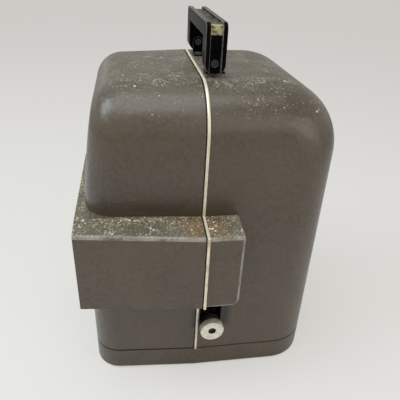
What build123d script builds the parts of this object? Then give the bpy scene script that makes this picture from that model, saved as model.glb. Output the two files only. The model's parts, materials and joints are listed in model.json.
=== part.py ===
from build123d import *
from math import atan2, cos, degrees, pi, radians, sin
import os

os.makedirs("parts", exist_ok=True)

# A portable film projector that closes into its own case. Millimetres, Z up, X to the right and
# Y to the back as seen from the front. The origin is on the table under the middle of the case.

# Case: everything left of the parting plane is the cover, everything right of it is the body
seam_x = -9.65
front_y = -68.4
left_x = seam_x - 96.8
right_x = seam_x + 120.8
back_y = front_y + 164.0
foot_height = 1.6
base_top = 26.0
case_top = 289.6
wall = 2.4
seam_gap = 1.0
front_lean = 9.4
back_lean = 7.0
crown_radius = 38.0
cover_corner = 25.0
cover_draft = 7.0
cover_drop = 3.5
body_shoulder = 58.0
body_wall_lean = 7.0
bead_width = 2.4
bead_proud = 1.2

# Lens box: the bulge on the front that also runs back along the left side of the cover
box_front = front_y - 33.2
box_bottom = 111.5
box_top_front = 183.5
box_top_back = 186.7
box_left = seam_x - 101.5
box_right = seam_x + 30.9
box_sweep = 10.2
box_back = front_y + 124.0
box_corner = 7.5

# Carrying handle, folding to the right about two pins
handle_x = seam_x + 9.2
handle_width = 16.0
handle_front = front_y + 25.0
handle_back = front_y + 130.0
handle_top = 329.4
handle_pivot_z = 300.4
handle_leg = 14.0
grip_depth = 10.5
handle_pin_r = 2.4

# Tilt: knob, shaft and pinion lift the front on a racked foot
tilt_x = seam_x + 14.4
tilt_z = 61.0
tilt_knob_r = 11.4
tilt_knob_front = front_y - 12.2
tilt_shaft_r = 3.0
rack_module = 1.0
rack_pinion_teeth = 12
rack_y = front_y + 14.0

# Film path. The optical axis runs along Y at (axis_x, axis_z)
axis_x = seam_x - 44.0
axis_z = 149.0
gate_y = front_y + 27.0
film_width = 16.0
plate_thickness = 3.0
plate_inset = 3.8
lens_r = 15.0
lens_fit = 0.05
shutter_y = front_y + 42.0
shutter_r = 13.0
main_y = front_y + 82.0
lamp_y = front_y + 98.0
lamphouse_front = front_y + 68.0
lamphouse_back = front_y + 132.0
lamphouse_bottom = 88.0
lamphouse_top = 212.0

# Gear train behind the plate, module 1
gear_module = 1.0
main_teeth = 60
sprocket_teeth = 32
shutter_teeth = 20
gear_x = seam_x + 4.0
gear_width = 5.0
sprocket_angle = 50.0
sprocket_r = 12.0
shaft_r = 3.0
bush_fit = 0.05

# Motor, fan and belt
motor_y = front_y + 106.0
motor_z = 84.0
motor_r = 30.0
belt_x = seam_x + 15.0
motor_pulley_r = 8.0
main_pulley_r = 22.0
belt_r = 2.0
fan_r = 31.0
fan_x = seam_x + 24.0
fan_width = 18.0

# Reel arms
arm_length = 92.0
arm_x = seam_x - 12.0
arm_pivot_y = front_y + 120.0
supply_pivot_z = 238.0
take_up_pivot_z = 62.0
arm_thickness = 4.0
spindle_r = 4.0


def front_at(z):
    """Y of the outer front face at the seam, at height z."""
    return front_y - front_lean * (z - base_top) / (case_top - base_top)


def back_at(z):
    """Y of the outer back face at the seam, at height z."""
    return back_y + back_lean * (z - base_top) / (case_top - base_top)


def case_profile(inset, draft, drop, bottom):
    """Side profile of the case with its two crown arcs, drawn in (y, z)."""
    shift = inset + draft
    top = case_top - drop - inset
    Polygon(
        (front_at(bottom) + shift, bottom),
        (front_y - front_lean + shift, top),
        (back_y + back_lean - shift, top),
        (back_at(bottom) - shift, bottom),
        align=None,
    )


def crown_vertices(sketch):
    """The two upper corners of a side profile."""
    return sketch.vertices().group_by(Axis.Y)[-1]


def box_profile(inset, depth):
    """Side profile of the lens box in (y, z), reaching depth behind the case front."""
    Polygon(
        (box_front + inset, box_bottom + inset + 0.6),
        (box_front + inset, box_top_front - inset),
        (front_at(box_top_back), box_top_back - inset),
        (front_y + depth, box_top_back - inset),
        (front_y + depth, box_bottom + inset),
        align=None,
    )


def cover_form(inset, seam, bottom):
    """Left half of the case as a solid: it tapers to the left and ends in a soft rounded face."""
    wall_turn = 130.0
    wall_radius = 750.0
    with BuildPart() as form:
        with BuildSketch(Plane.YZ.offset(seam)) as inner_end:
            case_profile(inset, 0, 0, bottom)
            fillet(crown_vertices(inner_end), crown_radius - inset)
        with BuildSketch(Plane.YZ.offset(left_x + inset)) as outer_end:
            case_profile(inset, cover_draft, cover_drop, bottom)
            fillet(crown_vertices(outer_end), crown_radius - inset)
        loft(ruled=True)
        with BuildSketch(Plane.XZ):
            with BuildLine():
                lean = JernArc((left_x + inset, wall_turn), (0, 1), wall_radius, -15)
                Polyline(
                    lean @ 1,
                    (left_x - 20, (lean @ 1).Y),
                    (left_x - 20, wall_turn),
                    (left_x + inset, wall_turn),
                )
            make_face()
        extrude(amount=400, both=True, mode=Mode.SUBTRACT)
        end_faces = form.faces().filter_by(lambda f: f.normal_at().X < -0.9)
        seen = [edge for face in end_faces for edge in face.edges()]
        loop = [
            edge
            for edge in seen
            if edge.center().Z > bottom + 1 and abs(edge.center().Z - wall_turn) > 0.5
        ]
        fillet(loop, cover_corner - inset)
    return form.part


def body_form(inset, seam, bottom):
    """Right half of the case as a solid: a tall block with one large shoulder."""
    with BuildPart() as form:
        with BuildSketch(Plane.XZ) as front_view:
            with BuildLine():
                Polyline(
                    (seam, bottom),
                    (seam, case_top - inset),
                    (right_x - inset - body_wall_lean, case_top - inset),
                    (right_x - inset, bottom),
                    close=True,
                )
            make_face()
            shoulder = front_view.vertices().group_by(Axis.Y)[-1].sort_by(Axis.X)[-1]
            fillet(shoulder, body_shoulder - inset)
        extrude(amount=400, both=True)
        with BuildSketch(Plane.YZ.offset(seam)):
            case_profile(inset, 0, 0, bottom)
        extrude(amount=200, mode=Mode.INTERSECT)
        for end in (form.faces().sort_by(Axis.Y)[0], form.faces().sort_by(Axis.Y)[-1]):
            rim = end.edges().filter_by(
                lambda edge: edge.center().Z > bottom + 1 and edge.center().X > seam + 1
            )
            fillet(rim, crown_radius - inset)
    return form.part


def box_left_form(inset, seam):
    """The lens box on the cover: its front sweeps back to the left and it wraps the left side."""
    reach = 20.0
    with BuildPart() as form:
        with BuildSketch(Plane.XY.offset(box_bottom - 5)):
            with BuildLine():
                Polyline(
                    (seam, box_front + inset),
                    (box_left + inset, box_front + box_sweep + inset),
                    (box_left + inset, box_back - inset),
                    (left_x + 2, box_back + 9 - inset),
                    (left_x + reach - inset, box_back + 9 - inset),
                    (left_x + reach - inset, front_y + reach - inset),
                    (seam, front_y + reach - inset),
                    close=True,
                )
            make_face()
        extrude(amount=box_top_back - box_bottom + 10)
        with BuildSketch(Plane.YZ.offset(seam)):
            box_profile(inset, box_back - front_y + 20)
        extrude(amount=-200, mode=Mode.INTERSECT)
        if inset == 0:
            front = form.faces().sort_by(Axis.Y)[0]
            fillet(front.edges().sort_by(Axis.Z)[-1], 3.5)
    return form.part


def box_right_form(inset, seam):
    """The shorter part of the lens box, carried by the body, with one soft lower corner."""
    with BuildPart() as form:
        with BuildSketch(Plane.YZ.offset(seam)):
            box_profile(inset, 20 - inset)
        extrude(amount=box_right - inset - seam)
        if inset == 0:
            end = form.faces().sort_by(Axis.X)[-1]
            fillet(end.edges().sort_by(Axis.Z)[0], box_corner)
            front = form.faces().sort_by(Axis.Y)[0]
            fillet(front.edges().sort_by(Axis.Z)[-1], 3.5)
            end = form.faces().sort_by(Axis.X)[-1]
            fillet(end.edges().sort_by(Axis.Y)[0], 3.0)
    return form.part


# Cover shell, drawn off to the left to thread the film
with BuildPart() as cover_shell:
    cover_seam = seam_x - seam_gap
    add(cover_form(0, cover_seam, base_top + seam_gap))
    add(box_left_form(0, cover_seam))
    add(cover_form(wall, cover_seam, base_top - 4), mode=Mode.SUBTRACT)
    add(box_left_form(wall, cover_seam), mode=Mode.SUBTRACT)
cover_shell.part.label = "cover_shell"
export_step(cover_shell.part, "parts/cover_shell.step")

# Body shell, with screw posts round its rim, cooling slots, the opening over the tilt knob that
# gives room to its rack, and the openings for tilt shaft and inlet
plate_screw_spots = [
    (front_at(46) + 9.0, 46.0),
    (front_at(210) + 9.0, 210.0),
    (front_y + 52.0, case_top - 9.0),
    (front_y + 108.0, case_top - 9.0),
    (back_at(210) - 9.0, 210.0),
    (back_at(48) - 9.0, 48.0),
]
inlet_x = seam_x + 84.0
inlet_z = 60.0
with BuildPart() as body_shell:
    add(body_form(0, seam_x, base_top))
    add(box_right_form(0, seam_x))
    add(body_form(wall, seam_x, base_top - 4), mode=Mode.SUBTRACT)
    add(box_right_form(wall, seam_x), mode=Mode.SUBTRACT)
    with BuildSketch(Plane.YZ.offset(seam_x)):
        with Locations(*plate_screw_spots):
            Circle(7.0)
    extrude(amount=14)
    with BuildSketch(Plane.YZ.offset(seam_x)):
        with Locations(*plate_screw_spots):
            Circle(2.0)
    extrude(amount=10, mode=Mode.SUBTRACT)
    with BuildSketch(Plane.YZ.offset(right_x - 12)):
        with Locations((front_y + 84.0, 84.0)):
            with GridLocations(9.0, 34.0, 9, 3):
                SlotOverall(26.0, 3.2, rotation=90)
    extrude(amount=20, mode=Mode.SUBTRACT)
    with BuildSketch(Plane.XZ.offset(-(back_y - 14))):
        with Locations((seam_x + 50.0, 178.0)):
            with GridLocations(9.0, 34.0, 6, 2):
                SlotOverall(26.0, 3.2, rotation=90)
        with Locations((inlet_x, inlet_z)):
            RectangleRounded(34.0, 22.0, 4.0)
    extrude(amount=-40, mode=Mode.SUBTRACT)
    with BuildSketch(Plane.XZ.offset(-(front_y + 4))):
        with Locations((tilt_x - 0.6, tilt_z + 18.0)):
            RectangleRounded(20.0, 34.0, 4.0)
        with Locations((tilt_x, tilt_z)):
            Circle(10.0, mode=Mode.SUBTRACT)
            Circle(6.0)
    extrude(amount=20, mode=Mode.SUBTRACT)
body_shell.part.label = "body_shell"
export_step(body_shell.part, "parts/body_shell.step")


def base_outline():
    """Footprint of the case, drawn in (x, y)."""
    Polygon(
        (left_x, front_y + cover_draft),
        (seam_x, front_y),
        (right_x, front_y),
        (right_x, back_y),
        (seam_x, back_y),
        (left_x, back_y - cover_draft),
        align=None,
    )


def round_base(sketch):
    """Rounds the footprint's four corners to match the shells above it."""
    fillet(sketch.vertices().sort_by(Axis.X)[:2], cover_corner)
    fillet(sketch.vertices().sort_by(Axis.X)[-2:], crown_radius)


# Base: a shallow pan turned over, whose deck carries the body
deck = 3.0
rack_x = tilt_x + rack_module * rack_pinion_teeth / 2
foot_hole_r = 10.5
with BuildPart() as base_pan:
    with BuildSketch(Plane.XY.offset(foot_height)) as footprint:
        base_outline()
        round_base(footprint)
    extrude(amount=base_top - foot_height)
    chamfer(base_pan.faces().sort_by(Axis.Z)[0].edges(), 1.2)
    with BuildSketch(Plane.XY.offset(foot_height)) as hollow:
        base_outline()
        round_base(hollow)
        offset(amount=-3.0)
    extrude(amount=base_top - foot_height - deck, mode=Mode.SUBTRACT)
    with BuildSketch(Plane.XY.offset(base_top - deck)):
        with Locations((rack_x + 4.5, rack_y)):
            Rectangle(11.0, 9.4)
    extrude(amount=deck, mode=Mode.SUBTRACT)
base_pan.part.label = "base_pan"
export_step(base_pan.part, "parts/base_pan.step")

# Bottom plate, closing the base, with the well that the tilt foot drops through
feet_spots = [
    (left_x + 24.0, front_y + 32.0),
    (right_x - 28.0, front_y + 32.0),
    (right_x - 28.0, back_y - 28.0),
    (left_x + 24.0, back_y - 32.0),
]
bottom_thickness = 1.6
bottom_z = foot_height + 1.4
with BuildPart() as bottom_plate:
    with BuildSketch(Plane.XY.offset(bottom_z)) as underside:
        base_outline()
        round_base(underside)
        offset(amount=-3.3)
        with Locations((rack_x + 4.5, rack_y)):
            Circle(foot_hole_r, mode=Mode.SUBTRACT)
    extrude(amount=bottom_thickness)
    with BuildSketch(Plane.XY.offset(bottom_z)):
        with Locations((seam_x - 46.0, front_y + 84.0), (seam_x + 62.0, front_y + 84.0)):
            with GridLocations(9.0, 30.0, 6, 2):
                SlotOverall(24.0, 3.2, rotation=90)
    extrude(amount=bottom_thickness, mode=Mode.SUBTRACT)
bottom_plate.part.label = "bottom_plate"
export_step(bottom_plate.part, "parts/bottom_plate.step")

# Four rubber feet, each a disc with a raised rim
with BuildPart() as rubber_feet:
    for spot in feet_spots:
        with BuildSketch(Plane.XY):
            with Locations(spot):
                Circle(9.0)
        extrude(amount=bottom_z)
    chamfer(rubber_feet.faces().group_by(Axis.Z)[0].edges(), 1.0)
rubber_feet.part.label = "rubber_feet"
export_step(rubber_feet.part, "parts/rubber_feet.step")


def seam_outline(inset):
    """Outline of the case and its lens box where the two halves meet, in (y, z)."""
    with BuildSketch(mode=Mode.PRIVATE) as outline:
        case_profile(inset, 0, 0, base_top)
        fillet(crown_vertices(outline), crown_radius - inset)
        box_profile(inset, 20)
    return outline.sketch


# Trim bead, sprung round the rim of the body and over the lens box
with BuildPart() as trim_bead:
    with BuildSketch(Plane.YZ.offset(seam_x)):
        add(seam_outline(0))
        offset(amount=bead_proud)
        add(seam_outline(0), mode=Mode.SUBTRACT)
        with Locations((front_y + 82.0, base_top - 10.0)):
            Rectangle(220.0, 20.0, mode=Mode.SUBTRACT)
    extrude(amount=bead_width)
trim_bead.part.label = "trim_bead"
export_step(trim_bead.part, "parts/trim_bead.step")


def arc_spot(angle, radius):
    """A point of the film drive at an angle above the line from main shaft to gate, in (y, z)."""
    turn = radians(angle)
    return (main_y - radius * cos(turn), axis_z + radius * sin(turn))


sprocket_reach = gear_module * (main_teeth + sprocket_teeth) / 2
upper_spot = arc_spot(sprocket_angle, sprocket_reach)
lower_spot = arc_spot(-sprocket_angle, sprocket_reach)
shutter_spot = (shutter_y, axis_z)
main_spot = (main_y, axis_z)
supply_spot = (arm_pivot_y, supply_pivot_z)
take_up_spot = (arm_pivot_y, take_up_pivot_z)
speed_spot = (front_y + 146.0, 92.0)
switch_spot = (front_y + 146.0, 128.0)
flanged_spots = [upper_spot, lower_spot, shutter_spot]
bush_spots = flanged_spots + [main_spot]
bush_r = 6.0
arm_bush_r = 8.0
arm_journal_r = 5.0
plate_x = seam_x - plate_thickness

# Mechanism plate: the wall between film side and drive side, with air ports and bearing holes
with BuildPart() as mechanism_plate:
    with BuildSketch(Plane.YZ.offset(plate_x)):
        add(seam_outline(plate_inset))
        with Locations(*bush_spots):
            Circle(bush_r, mode=Mode.SUBTRACT)
        with Locations(supply_spot, take_up_spot):
            Circle(arm_bush_r, mode=Mode.SUBTRACT)
        with Locations(*plate_screw_spots):
            Circle(2.2, mode=Mode.SUBTRACT)
        with Locations(speed_spot, switch_spot):
            Circle(3.6, mode=Mode.SUBTRACT)
        with Locations((motor_y, motor_z + 26.0)):
            with GridLocations(8.0, 12.0, 5, 1):
                SlotOverall(24.0, 4.0, rotation=90, mode=Mode.SUBTRACT)
    extrude(amount=plate_thickness)
mechanism_plate.part.label = "mechanism_plate"
export_step(mechanism_plate.part, "parts/mechanism_plate.step")

# Round-headed screws that hold the plate to the posts of the body
with BuildPart() as plate_screws:
    with BuildSketch(Plane.YZ.offset(plate_x)):
        with Locations(*plate_screw_spots):
            Circle(3.6)
    extrude(amount=-1.8)
    chamfer(plate_screws.faces().group_by(Axis.X)[0].edges(), 0.7)
    with BuildSketch(Plane.YZ.offset(plate_x)):
        with Locations(*plate_screw_spots):
            Circle(1.9)
    extrude(amount=plate_thickness + 9.0)
plate_screws.part.label = "plate_screws"
export_step(plate_screws.part, "parts/plate_screws.step")

# Bronze bushes: three flanged on the film side, the main one behind, and two for the reel arms
with BuildPart() as bearing_bushes:
    with BuildSketch(Plane.YZ.offset(plate_x)):
        with Locations(*bush_spots):
            Circle(bush_r)
            Circle(shaft_r + bush_fit, mode=Mode.SUBTRACT)
    extrude(amount=plate_thickness)
    with BuildSketch(Plane.YZ.offset(plate_x)):
        with Locations(*flanged_spots):
            Circle(bush_r + 2)
            Circle(shaft_r + bush_fit, mode=Mode.SUBTRACT)
    extrude(amount=-1.5)
    with BuildSketch(Plane.YZ.offset(seam_x)):
        with Locations(main_spot):
            Circle(bush_r + 2)
            Circle(shaft_r + bush_fit, mode=Mode.SUBTRACT)
    extrude(amount=3.4)
    with BuildSketch(Plane.YZ.offset(plate_x)):
        with Locations(supply_spot, take_up_spot):
            Circle(arm_bush_r)
            Circle(arm_journal_r + bush_fit, mode=Mode.SUBTRACT)
    extrude(amount=plate_thickness)
    with BuildSketch(Plane.YZ.offset(plate_x)):
        with Locations(supply_spot, take_up_spot):
            Circle(arm_bush_r + 3)
            Circle(arm_journal_r + bush_fit, mode=Mode.SUBTRACT)
    extrude(amount=-4.0)
bearing_bushes.part.label = "bearing_bushes"
export_step(bearing_bushes.part, "parts/bearing_bushes.step")

# Handle: a moulded bow of channel section on two legs
with BuildPart() as handle_grip:
    handle_length = handle_back - handle_front
    handle_mid = (handle_front + handle_back) / 2
    leg_bottom = handle_pivot_z - 8.0
    with BuildSketch(Plane.YZ.offset(handle_x - handle_width / 2)) as bow:
        with Locations((handle_mid, leg_bottom)):
            Rectangle(handle_length, handle_top - leg_bottom, align=(Align.CENTER, Align.MIN))
        fillet(crown_vertices(bow), 5.0)
        with Locations((handle_mid, leg_bottom)):
            Rectangle(
                handle_length - 2 * handle_leg,
                handle_top - grip_depth - leg_bottom,
                align=(Align.CENTER, Align.MIN),
                mode=Mode.SUBTRACT,
            )
    extrude(amount=handle_width)
    feet = handle_grip.edges().filter_by(Axis.Y).group_by(Axis.Z)[0]
    fillet(feet, 7.9)
    with BuildSketch(Plane.YZ.offset(handle_x - 4.5)):
        with Locations((handle_mid, leg_bottom - 5)):
            Rectangle(handle_length + 9, handle_top + 9 - leg_bottom, align=(Align.CENTER, Align.MIN))
        with Locations((handle_mid, leg_bottom - 5)):
            Rectangle(
                handle_length - 5,
                handle_top + 2.5 - leg_bottom,
                align=(Align.CENTER, Align.MIN),
                mode=Mode.SUBTRACT,
            )
    extrude(amount=9, mode=Mode.SUBTRACT)
    with BuildSketch(Plane.XZ.offset(-(handle_front + 2.5))):
        with Locations((handle_x, handle_pivot_z)):
            Circle(handle_pin_r + bush_fit)
    extrude(amount=-(handle_length - 5), mode=Mode.SUBTRACT)
handle_grip.part.label = "handle_grip"
export_step(handle_grip.part, "parts/handle_grip.step")

# Two pressed brackets on the crown of the body, each with one upright ear inside a leg
ear_gap = 0.4
ear_thickness = 1.8
ear_r = 4.6
bracket_thickness = 1.6
with BuildPart() as handle_brackets:
    for leg_face, way in ((handle_front + handle_leg, 1), (handle_back - handle_leg, -1)):
        ear_near = leg_face + way * ear_gap
        ear_far = ear_near + way * ear_thickness
        with BuildSketch(Plane.XZ.offset(-min(ear_near, ear_far))):
            with Locations((handle_x, case_top)):
                Rectangle(2 * ear_r, handle_pivot_z - case_top, align=(Align.CENTER, Align.MIN))
            with Locations((handle_x, handle_pivot_z)):
                Circle(ear_r)
                Circle(handle_pin_r, mode=Mode.SUBTRACT)
        extrude(amount=-ear_thickness)
        with BuildSketch(Plane.XY.offset(case_top)):
            with Locations((handle_x - ear_r, ear_far + way * 5.0)):
                Rectangle(16.0, 10.0, align=(Align.MIN, Align.CENTER))
        extrude(amount=bracket_thickness)
handle_brackets.part.label = "handle_brackets"
export_step(handle_brackets.part, "parts/handle_brackets.step")

# Hinge pins, fixed in the ears and running in the legs
with BuildPart() as handle_pins:
    for start, way in ((handle_front + 4.0, -1), (handle_back - 4.0, 1)):
        with BuildSketch(Plane.XZ.offset(-start)):
            with Locations((handle_x, handle_pivot_z)):
                Circle(handle_pin_r)
        extrude(amount=way * (handle_leg + ear_gap + ear_thickness - 4.0))
handle_pins.part.label = "handle_pins"
export_step(handle_pins.part, "parts/handle_pins.step")

# Bracket screws, two to each bracket
with BuildPart() as bracket_screws:
    for leg_face, way in ((handle_front + handle_leg, 1), (handle_back - handle_leg, -1)):
        with BuildSketch(Plane.XY.offset(case_top + bracket_thickness)):
            with Locations((handle_x + 3.6, leg_face + way * 7.4)):
                with GridLocations(8.0, 1.0, 2, 1):
                    Circle(2.6)
        extrude(amount=1.3)
    chamfer(bracket_screws.faces().group_by(Axis.Z)[-1].edges(), 0.5)
bracket_screws.part.label = "bracket_screws"
export_step(bracket_screws.part, "parts/bracket_screws.step")

# Tilt bushing through the front wall
tilt_wall_y = front_at(tilt_z)
with BuildPart() as tilt_bushing:
    with BuildSketch(Plane.XZ.offset(-(tilt_wall_y + 8))):
        with Locations((tilt_x, tilt_z)):
            Circle(6.0)
    extrude(amount=8.4)
    with BuildSketch(Plane.XZ.offset(-(tilt_wall_y - 0.4))):
        with Locations((tilt_x, tilt_z)):
            Circle(9.0)
    extrude(amount=2.2)
    with BuildSketch(Plane.XZ.offset(-(tilt_wall_y + 12))):
        with Locations((tilt_x, tilt_z)):
            Circle(tilt_shaft_r + bush_fit)
    extrude(amount=30, mode=Mode.SUBTRACT)
tilt_bushing.part.label = "tilt_bushing"
export_step(tilt_bushing.part, "parts/tilt_bushing.step")

# Tilt knob: a straight-knurled disc with a shallow dished face
knob_thickness = 6.2
knurls = 40
with BuildPart() as tilt_knob:
    with BuildSketch(Plane.XZ.offset(-tilt_knob_front)):
        with Locations((tilt_x, tilt_z)):
            Circle(tilt_knob_r)
    extrude(amount=-knob_thickness)
    chamfer(tilt_knob.edges().filter_by(GeomType.CIRCLE), 0.7)
    with BuildSketch(Plane.XZ.offset(-tilt_knob_front)):
        with Locations((tilt_x, tilt_z)):
            with PolarLocations(tilt_knob_r + 0.1, knurls):
                Rectangle(0.9, 0.8)
            Circle(tilt_shaft_r - 0.3)
    extrude(amount=-knob_thickness, mode=Mode.SUBTRACT)
tilt_knob.part.label = "tilt_knob"
export_step(tilt_knob.part, "parts/tilt_knob.step")


def gear_outline(spot, teeth, module, phase, bore=0):
    """A spur gear with straight-flanked teeth, phase being the angle of its first tooth."""
    pitch_r = module * teeth / 2
    tooth = [
        (-1.3 * module, -0.88 * module),
        (0.85 * module, -0.30 * module),
        (0.85 * module, 0.30 * module),
        (-1.3 * module, 0.88 * module),
    ]
    with Locations(spot):
        Circle(pitch_r - 1.15 * module)
        with PolarLocations(pitch_r, teeth, start_angle=phase):
            Polygon(*tooth, align=None)
        if bore:
            Circle(bore, mode=Mode.SUBTRACT)


# Tilt shaft: turned down where the knob is pressed on, with the pinion cut at its inner end
with BuildPart() as tilt_shaft:
    with BuildSketch(Plane.XZ.offset(-(rack_y + 9))):
        with Locations((tilt_x, tilt_z)):
            Circle(tilt_shaft_r)
    extrude(amount=rack_y + 9 - (tilt_knob_front + knob_thickness))
    with BuildSketch(Plane.XZ.offset(-(tilt_knob_front + knob_thickness))):
        with Locations((tilt_x, tilt_z)):
            Circle(tilt_shaft_r - 0.3)
    extrude(amount=knob_thickness - 2.6)
    with BuildSketch(Plane.XZ.offset(-(rack_y + 3.5))):
        gear_outline((tilt_x, tilt_z), rack_pinion_teeth, rack_module, 0)
    extrude(amount=7.0)
tilt_shaft.part.label = "tilt_shaft"
export_step(tilt_shaft.part, "parts/tilt_shaft.step")

# Tilt rack: a square bar toothed on its left face, sliding down through the base
rack_pitch = pi * rack_module
rack_bottom = bottom_z + 1.6
rack_top = 101.0
rack_root_x = rack_x + 1.3 * rack_module
rack_half = rack_pitch / 2
with BuildPart() as tilt_rack:
    with BuildSketch(Plane.XZ.offset(-(rack_y + 4))):
        with Locations((rack_root_x, rack_bottom)):
            Rectangle(7.6, rack_top - rack_bottom, align=(Align.MIN, Align.MIN))
        for step in range(-2, 12):
            with Locations((rack_x, tilt_z + rack_half + step * rack_pitch)):
                Polygon((1.4, -1.15), (1.4, 1.15), (-0.8, 0.32), (-0.8, -0.32), align=None)
    extrude(amount=8.0)
tilt_rack.part.label = "tilt_rack"
export_step(tilt_rack.part, "parts/tilt_rack.step")

# Tilt foot pad, retracted into its well in the bottom plate
with BuildPart() as tilt_foot:
    with BuildSketch(Plane.XY.offset(foot_height - 1.0)):
        with Locations((rack_x + 4.5, rack_y)):
            Circle(9.0)
    extrude(amount=rack_bottom - foot_height + 1.0)
    chamfer(tilt_foot.faces().sort_by(Axis.Z)[0].edges(), 1.0)
tilt_foot.part.label = "tilt_foot"
export_step(tilt_foot.part, "parts/tilt_foot.step")

# Aperture plate: the film channel with its window, standing on the mechanism plate by a foot
with BuildPart() as aperture_plate:
    with BuildSketch(Plane.XZ.offset(-(gate_y + 2))):
        with Locations((axis_x, axis_z)):
            RectangleRounded(26.0, 74.0, 3.0)
            Rectangle(10.3, 7.5, mode=Mode.SUBTRACT)
        with Locations((axis_x + 13, axis_z - 12)):
            Rectangle(plate_x - axis_x - 13, 6.0, align=(Align.MIN, Align.CENTER))
        with Locations((axis_x + 13, axis_z + 12)):
            Rectangle(plate_x - axis_x - 13, 6.0, align=(Align.MIN, Align.CENTER))
    extrude(amount=2.0)
    with BuildSketch(Plane.XZ.offset(-gate_y)):
        with Locations((axis_x, axis_z)):
            with GridLocations(film_width + 2.4, 1.0, 2, 1):
                Rectangle(2.0, 60.0)
    extrude(amount=0.7)
    with BuildSketch(Plane.YZ.offset(plate_x)):
        with Locations((gate_y + 1.0, axis_z - 12), (gate_y + 1.0, axis_z + 12)):
            RectangleRounded(12.0, 10.0, 2.0)
    extrude(amount=-2.0)
aperture_plate.part.label = "aperture_plate"
export_step(aperture_plate.part, "parts/aperture_plate.step")

# Guide rods on which the lens carriage opens
rod_reach = 28.0
rod_r = 2.5
with BuildPart() as guide_rods:
    with BuildSketch(Plane.XZ.offset(-gate_y)):
        with Locations((axis_x, axis_z - rod_reach), (axis_x, axis_z + rod_reach)):
            Circle(rod_r)
    extrude(amount=34.0)
guide_rods.part.label = "guide_rods"
export_step(guide_rods.part, "parts/guide_rods.step")

# Lens carriage: a ring between two ears, sliding on the rods
carriage_front = front_y + 1.0
carriage_depth = 17.0
with BuildPart() as lens_carriage:
    with BuildSketch(Plane.XZ.offset(-(carriage_front + carriage_depth))):
        with Locations((axis_x, axis_z)):
            Circle(lens_r + 4)
            Rectangle(12.0, 2 * rod_reach)
        with Locations((axis_x, axis_z - rod_reach), (axis_x, axis_z + rod_reach)):
            Circle(5.5)
            Circle(rod_r + bush_fit, mode=Mode.SUBTRACT)
        with Locations((axis_x, axis_z)):
            Circle(lens_r, mode=Mode.SUBTRACT)
    extrude(amount=carriage_depth)
lens_carriage.part.label = "lens_carriage"
export_step(lens_carriage.part, "parts/lens_carriage.step")

# Pressure plate: a sprung shoe with a window, carried behind the lens by two strips
with BuildPart() as pressure_plate:
    with BuildSketch(Plane.XZ.offset(-(gate_y - 1.6))):
        with Locations((axis_x, axis_z)):
            RectangleRounded(film_width, 44.0, 2.0)
            Rectangle(11.0, 9.0, mode=Mode.SUBTRACT)
    extrude(amount=1.6)
    with BuildSketch(Plane.XZ.offset(-(gate_y - 3.2))):
        with Locations((axis_x, axis_z - 19.0), (axis_x, axis_z + 19.0)):
            Rectangle(8.0, 3.0)
    extrude(amount=gate_y - 3.2 - carriage_front - carriage_depth)
pressure_plate.part.label = "pressure_plate"
export_step(pressure_plate.part, "parts/pressure_plate.step")

# Lens barrel, turned with grip rings, bored for its glasses
barrel_front = front_y - 17.0
barrel_back = front_y + 15.0
with BuildPart() as lens_barrel:
    with BuildSketch(Plane.YZ.offset(axis_x)):
        with BuildLine():
            Polyline(
                (barrel_front, axis_z + 11.5),
                (barrel_front, axis_z + 16.5),
                (barrel_front + 10, axis_z + 16.5),
                (barrel_front + 11, axis_z + lens_r - lens_fit),
                (barrel_back, axis_z + lens_r - lens_fit),
                (barrel_back, axis_z + 8.5),
                (barrel_back - 4, axis_z + 8.5),
                (barrel_back - 4, axis_z + 10),
                (barrel_front + 4, axis_z + 10),
                (barrel_front + 4, axis_z + 11.5),
                close=True,
            )
        make_face()
    optical_axis = Axis((axis_x, 0, axis_z), (0, 1, 0))
    revolve(axis=optical_axis)
    with BuildSketch(Plane.XZ.offset(-barrel_front)):
        with Locations((axis_x, axis_z)):
            with PolarLocations(16.6, 36):
                Rectangle(1.0, 1.2)
    extrude(amount=-8.0, mode=Mode.SUBTRACT)
lens_barrel.part.label = "lens_barrel"
export_step(lens_barrel.part, "parts/lens_barrel.step")


def plano_convex(flat, crown, radius, edge):
    """A glass on the optical axis: its flat face at y = flat, its dome reaching y = crown."""
    way = 1 if crown > flat else -1
    sag = abs(crown - flat) - edge
    dome_r = (radius**2 + sag**2) / (2 * sag)
    with BuildPart() as glass:
        with Locations((axis_x, crown - way * dome_r, axis_z)):
            Sphere(dome_r)
        with Locations(Location((axis_x, (flat + crown) / 2, axis_z), (90, 0, 0))):
            Cylinder(radius, abs(crown - flat), mode=Mode.INTERSECT)
    return glass.part


# Front and rear glasses of the lens
with BuildPart() as lens_glasses:
    add(plano_convex(barrel_front + 4, barrel_front + 1.0, 11.45, 1.2))
    add(plano_convex(barrel_back - 3.9, barrel_back - 1.2, 8.45, 1.0))
lens_glasses.part.label = "lens_glasses"
export_step(lens_glasses.part, "parts/lens_glasses.step")

# Barrel shutter: a drum with two windows, turning between lamp and gate
shutter_right = axis_x + 15.0
shutter_left = axis_x - 15.0
with BuildPart() as shutter_drum:
    with BuildSketch(Plane.YZ.offset(shutter_left)):
        with Locations(shutter_spot):
            Circle(shutter_r)
    extrude(amount=shutter_right - shutter_left)
    with BuildSketch(Plane.YZ.offset(shutter_left)):
        with Locations(shutter_spot):
            Circle(shutter_r - 1.0)
    extrude(amount=shutter_right - shutter_left - 3.0, mode=Mode.SUBTRACT)
    with BuildSketch(Plane.XY.offset(axis_z - 7.5)):
        with Locations((axis_x - 1, shutter_y)):
            Rectangle(20.0, 2 * shutter_r + 4)
    extrude(amount=15.0, mode=Mode.SUBTRACT)
shutter_drum.part.label = "shutter_drum"
export_step(shutter_drum.part, "parts/shutter_drum.step")

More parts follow.
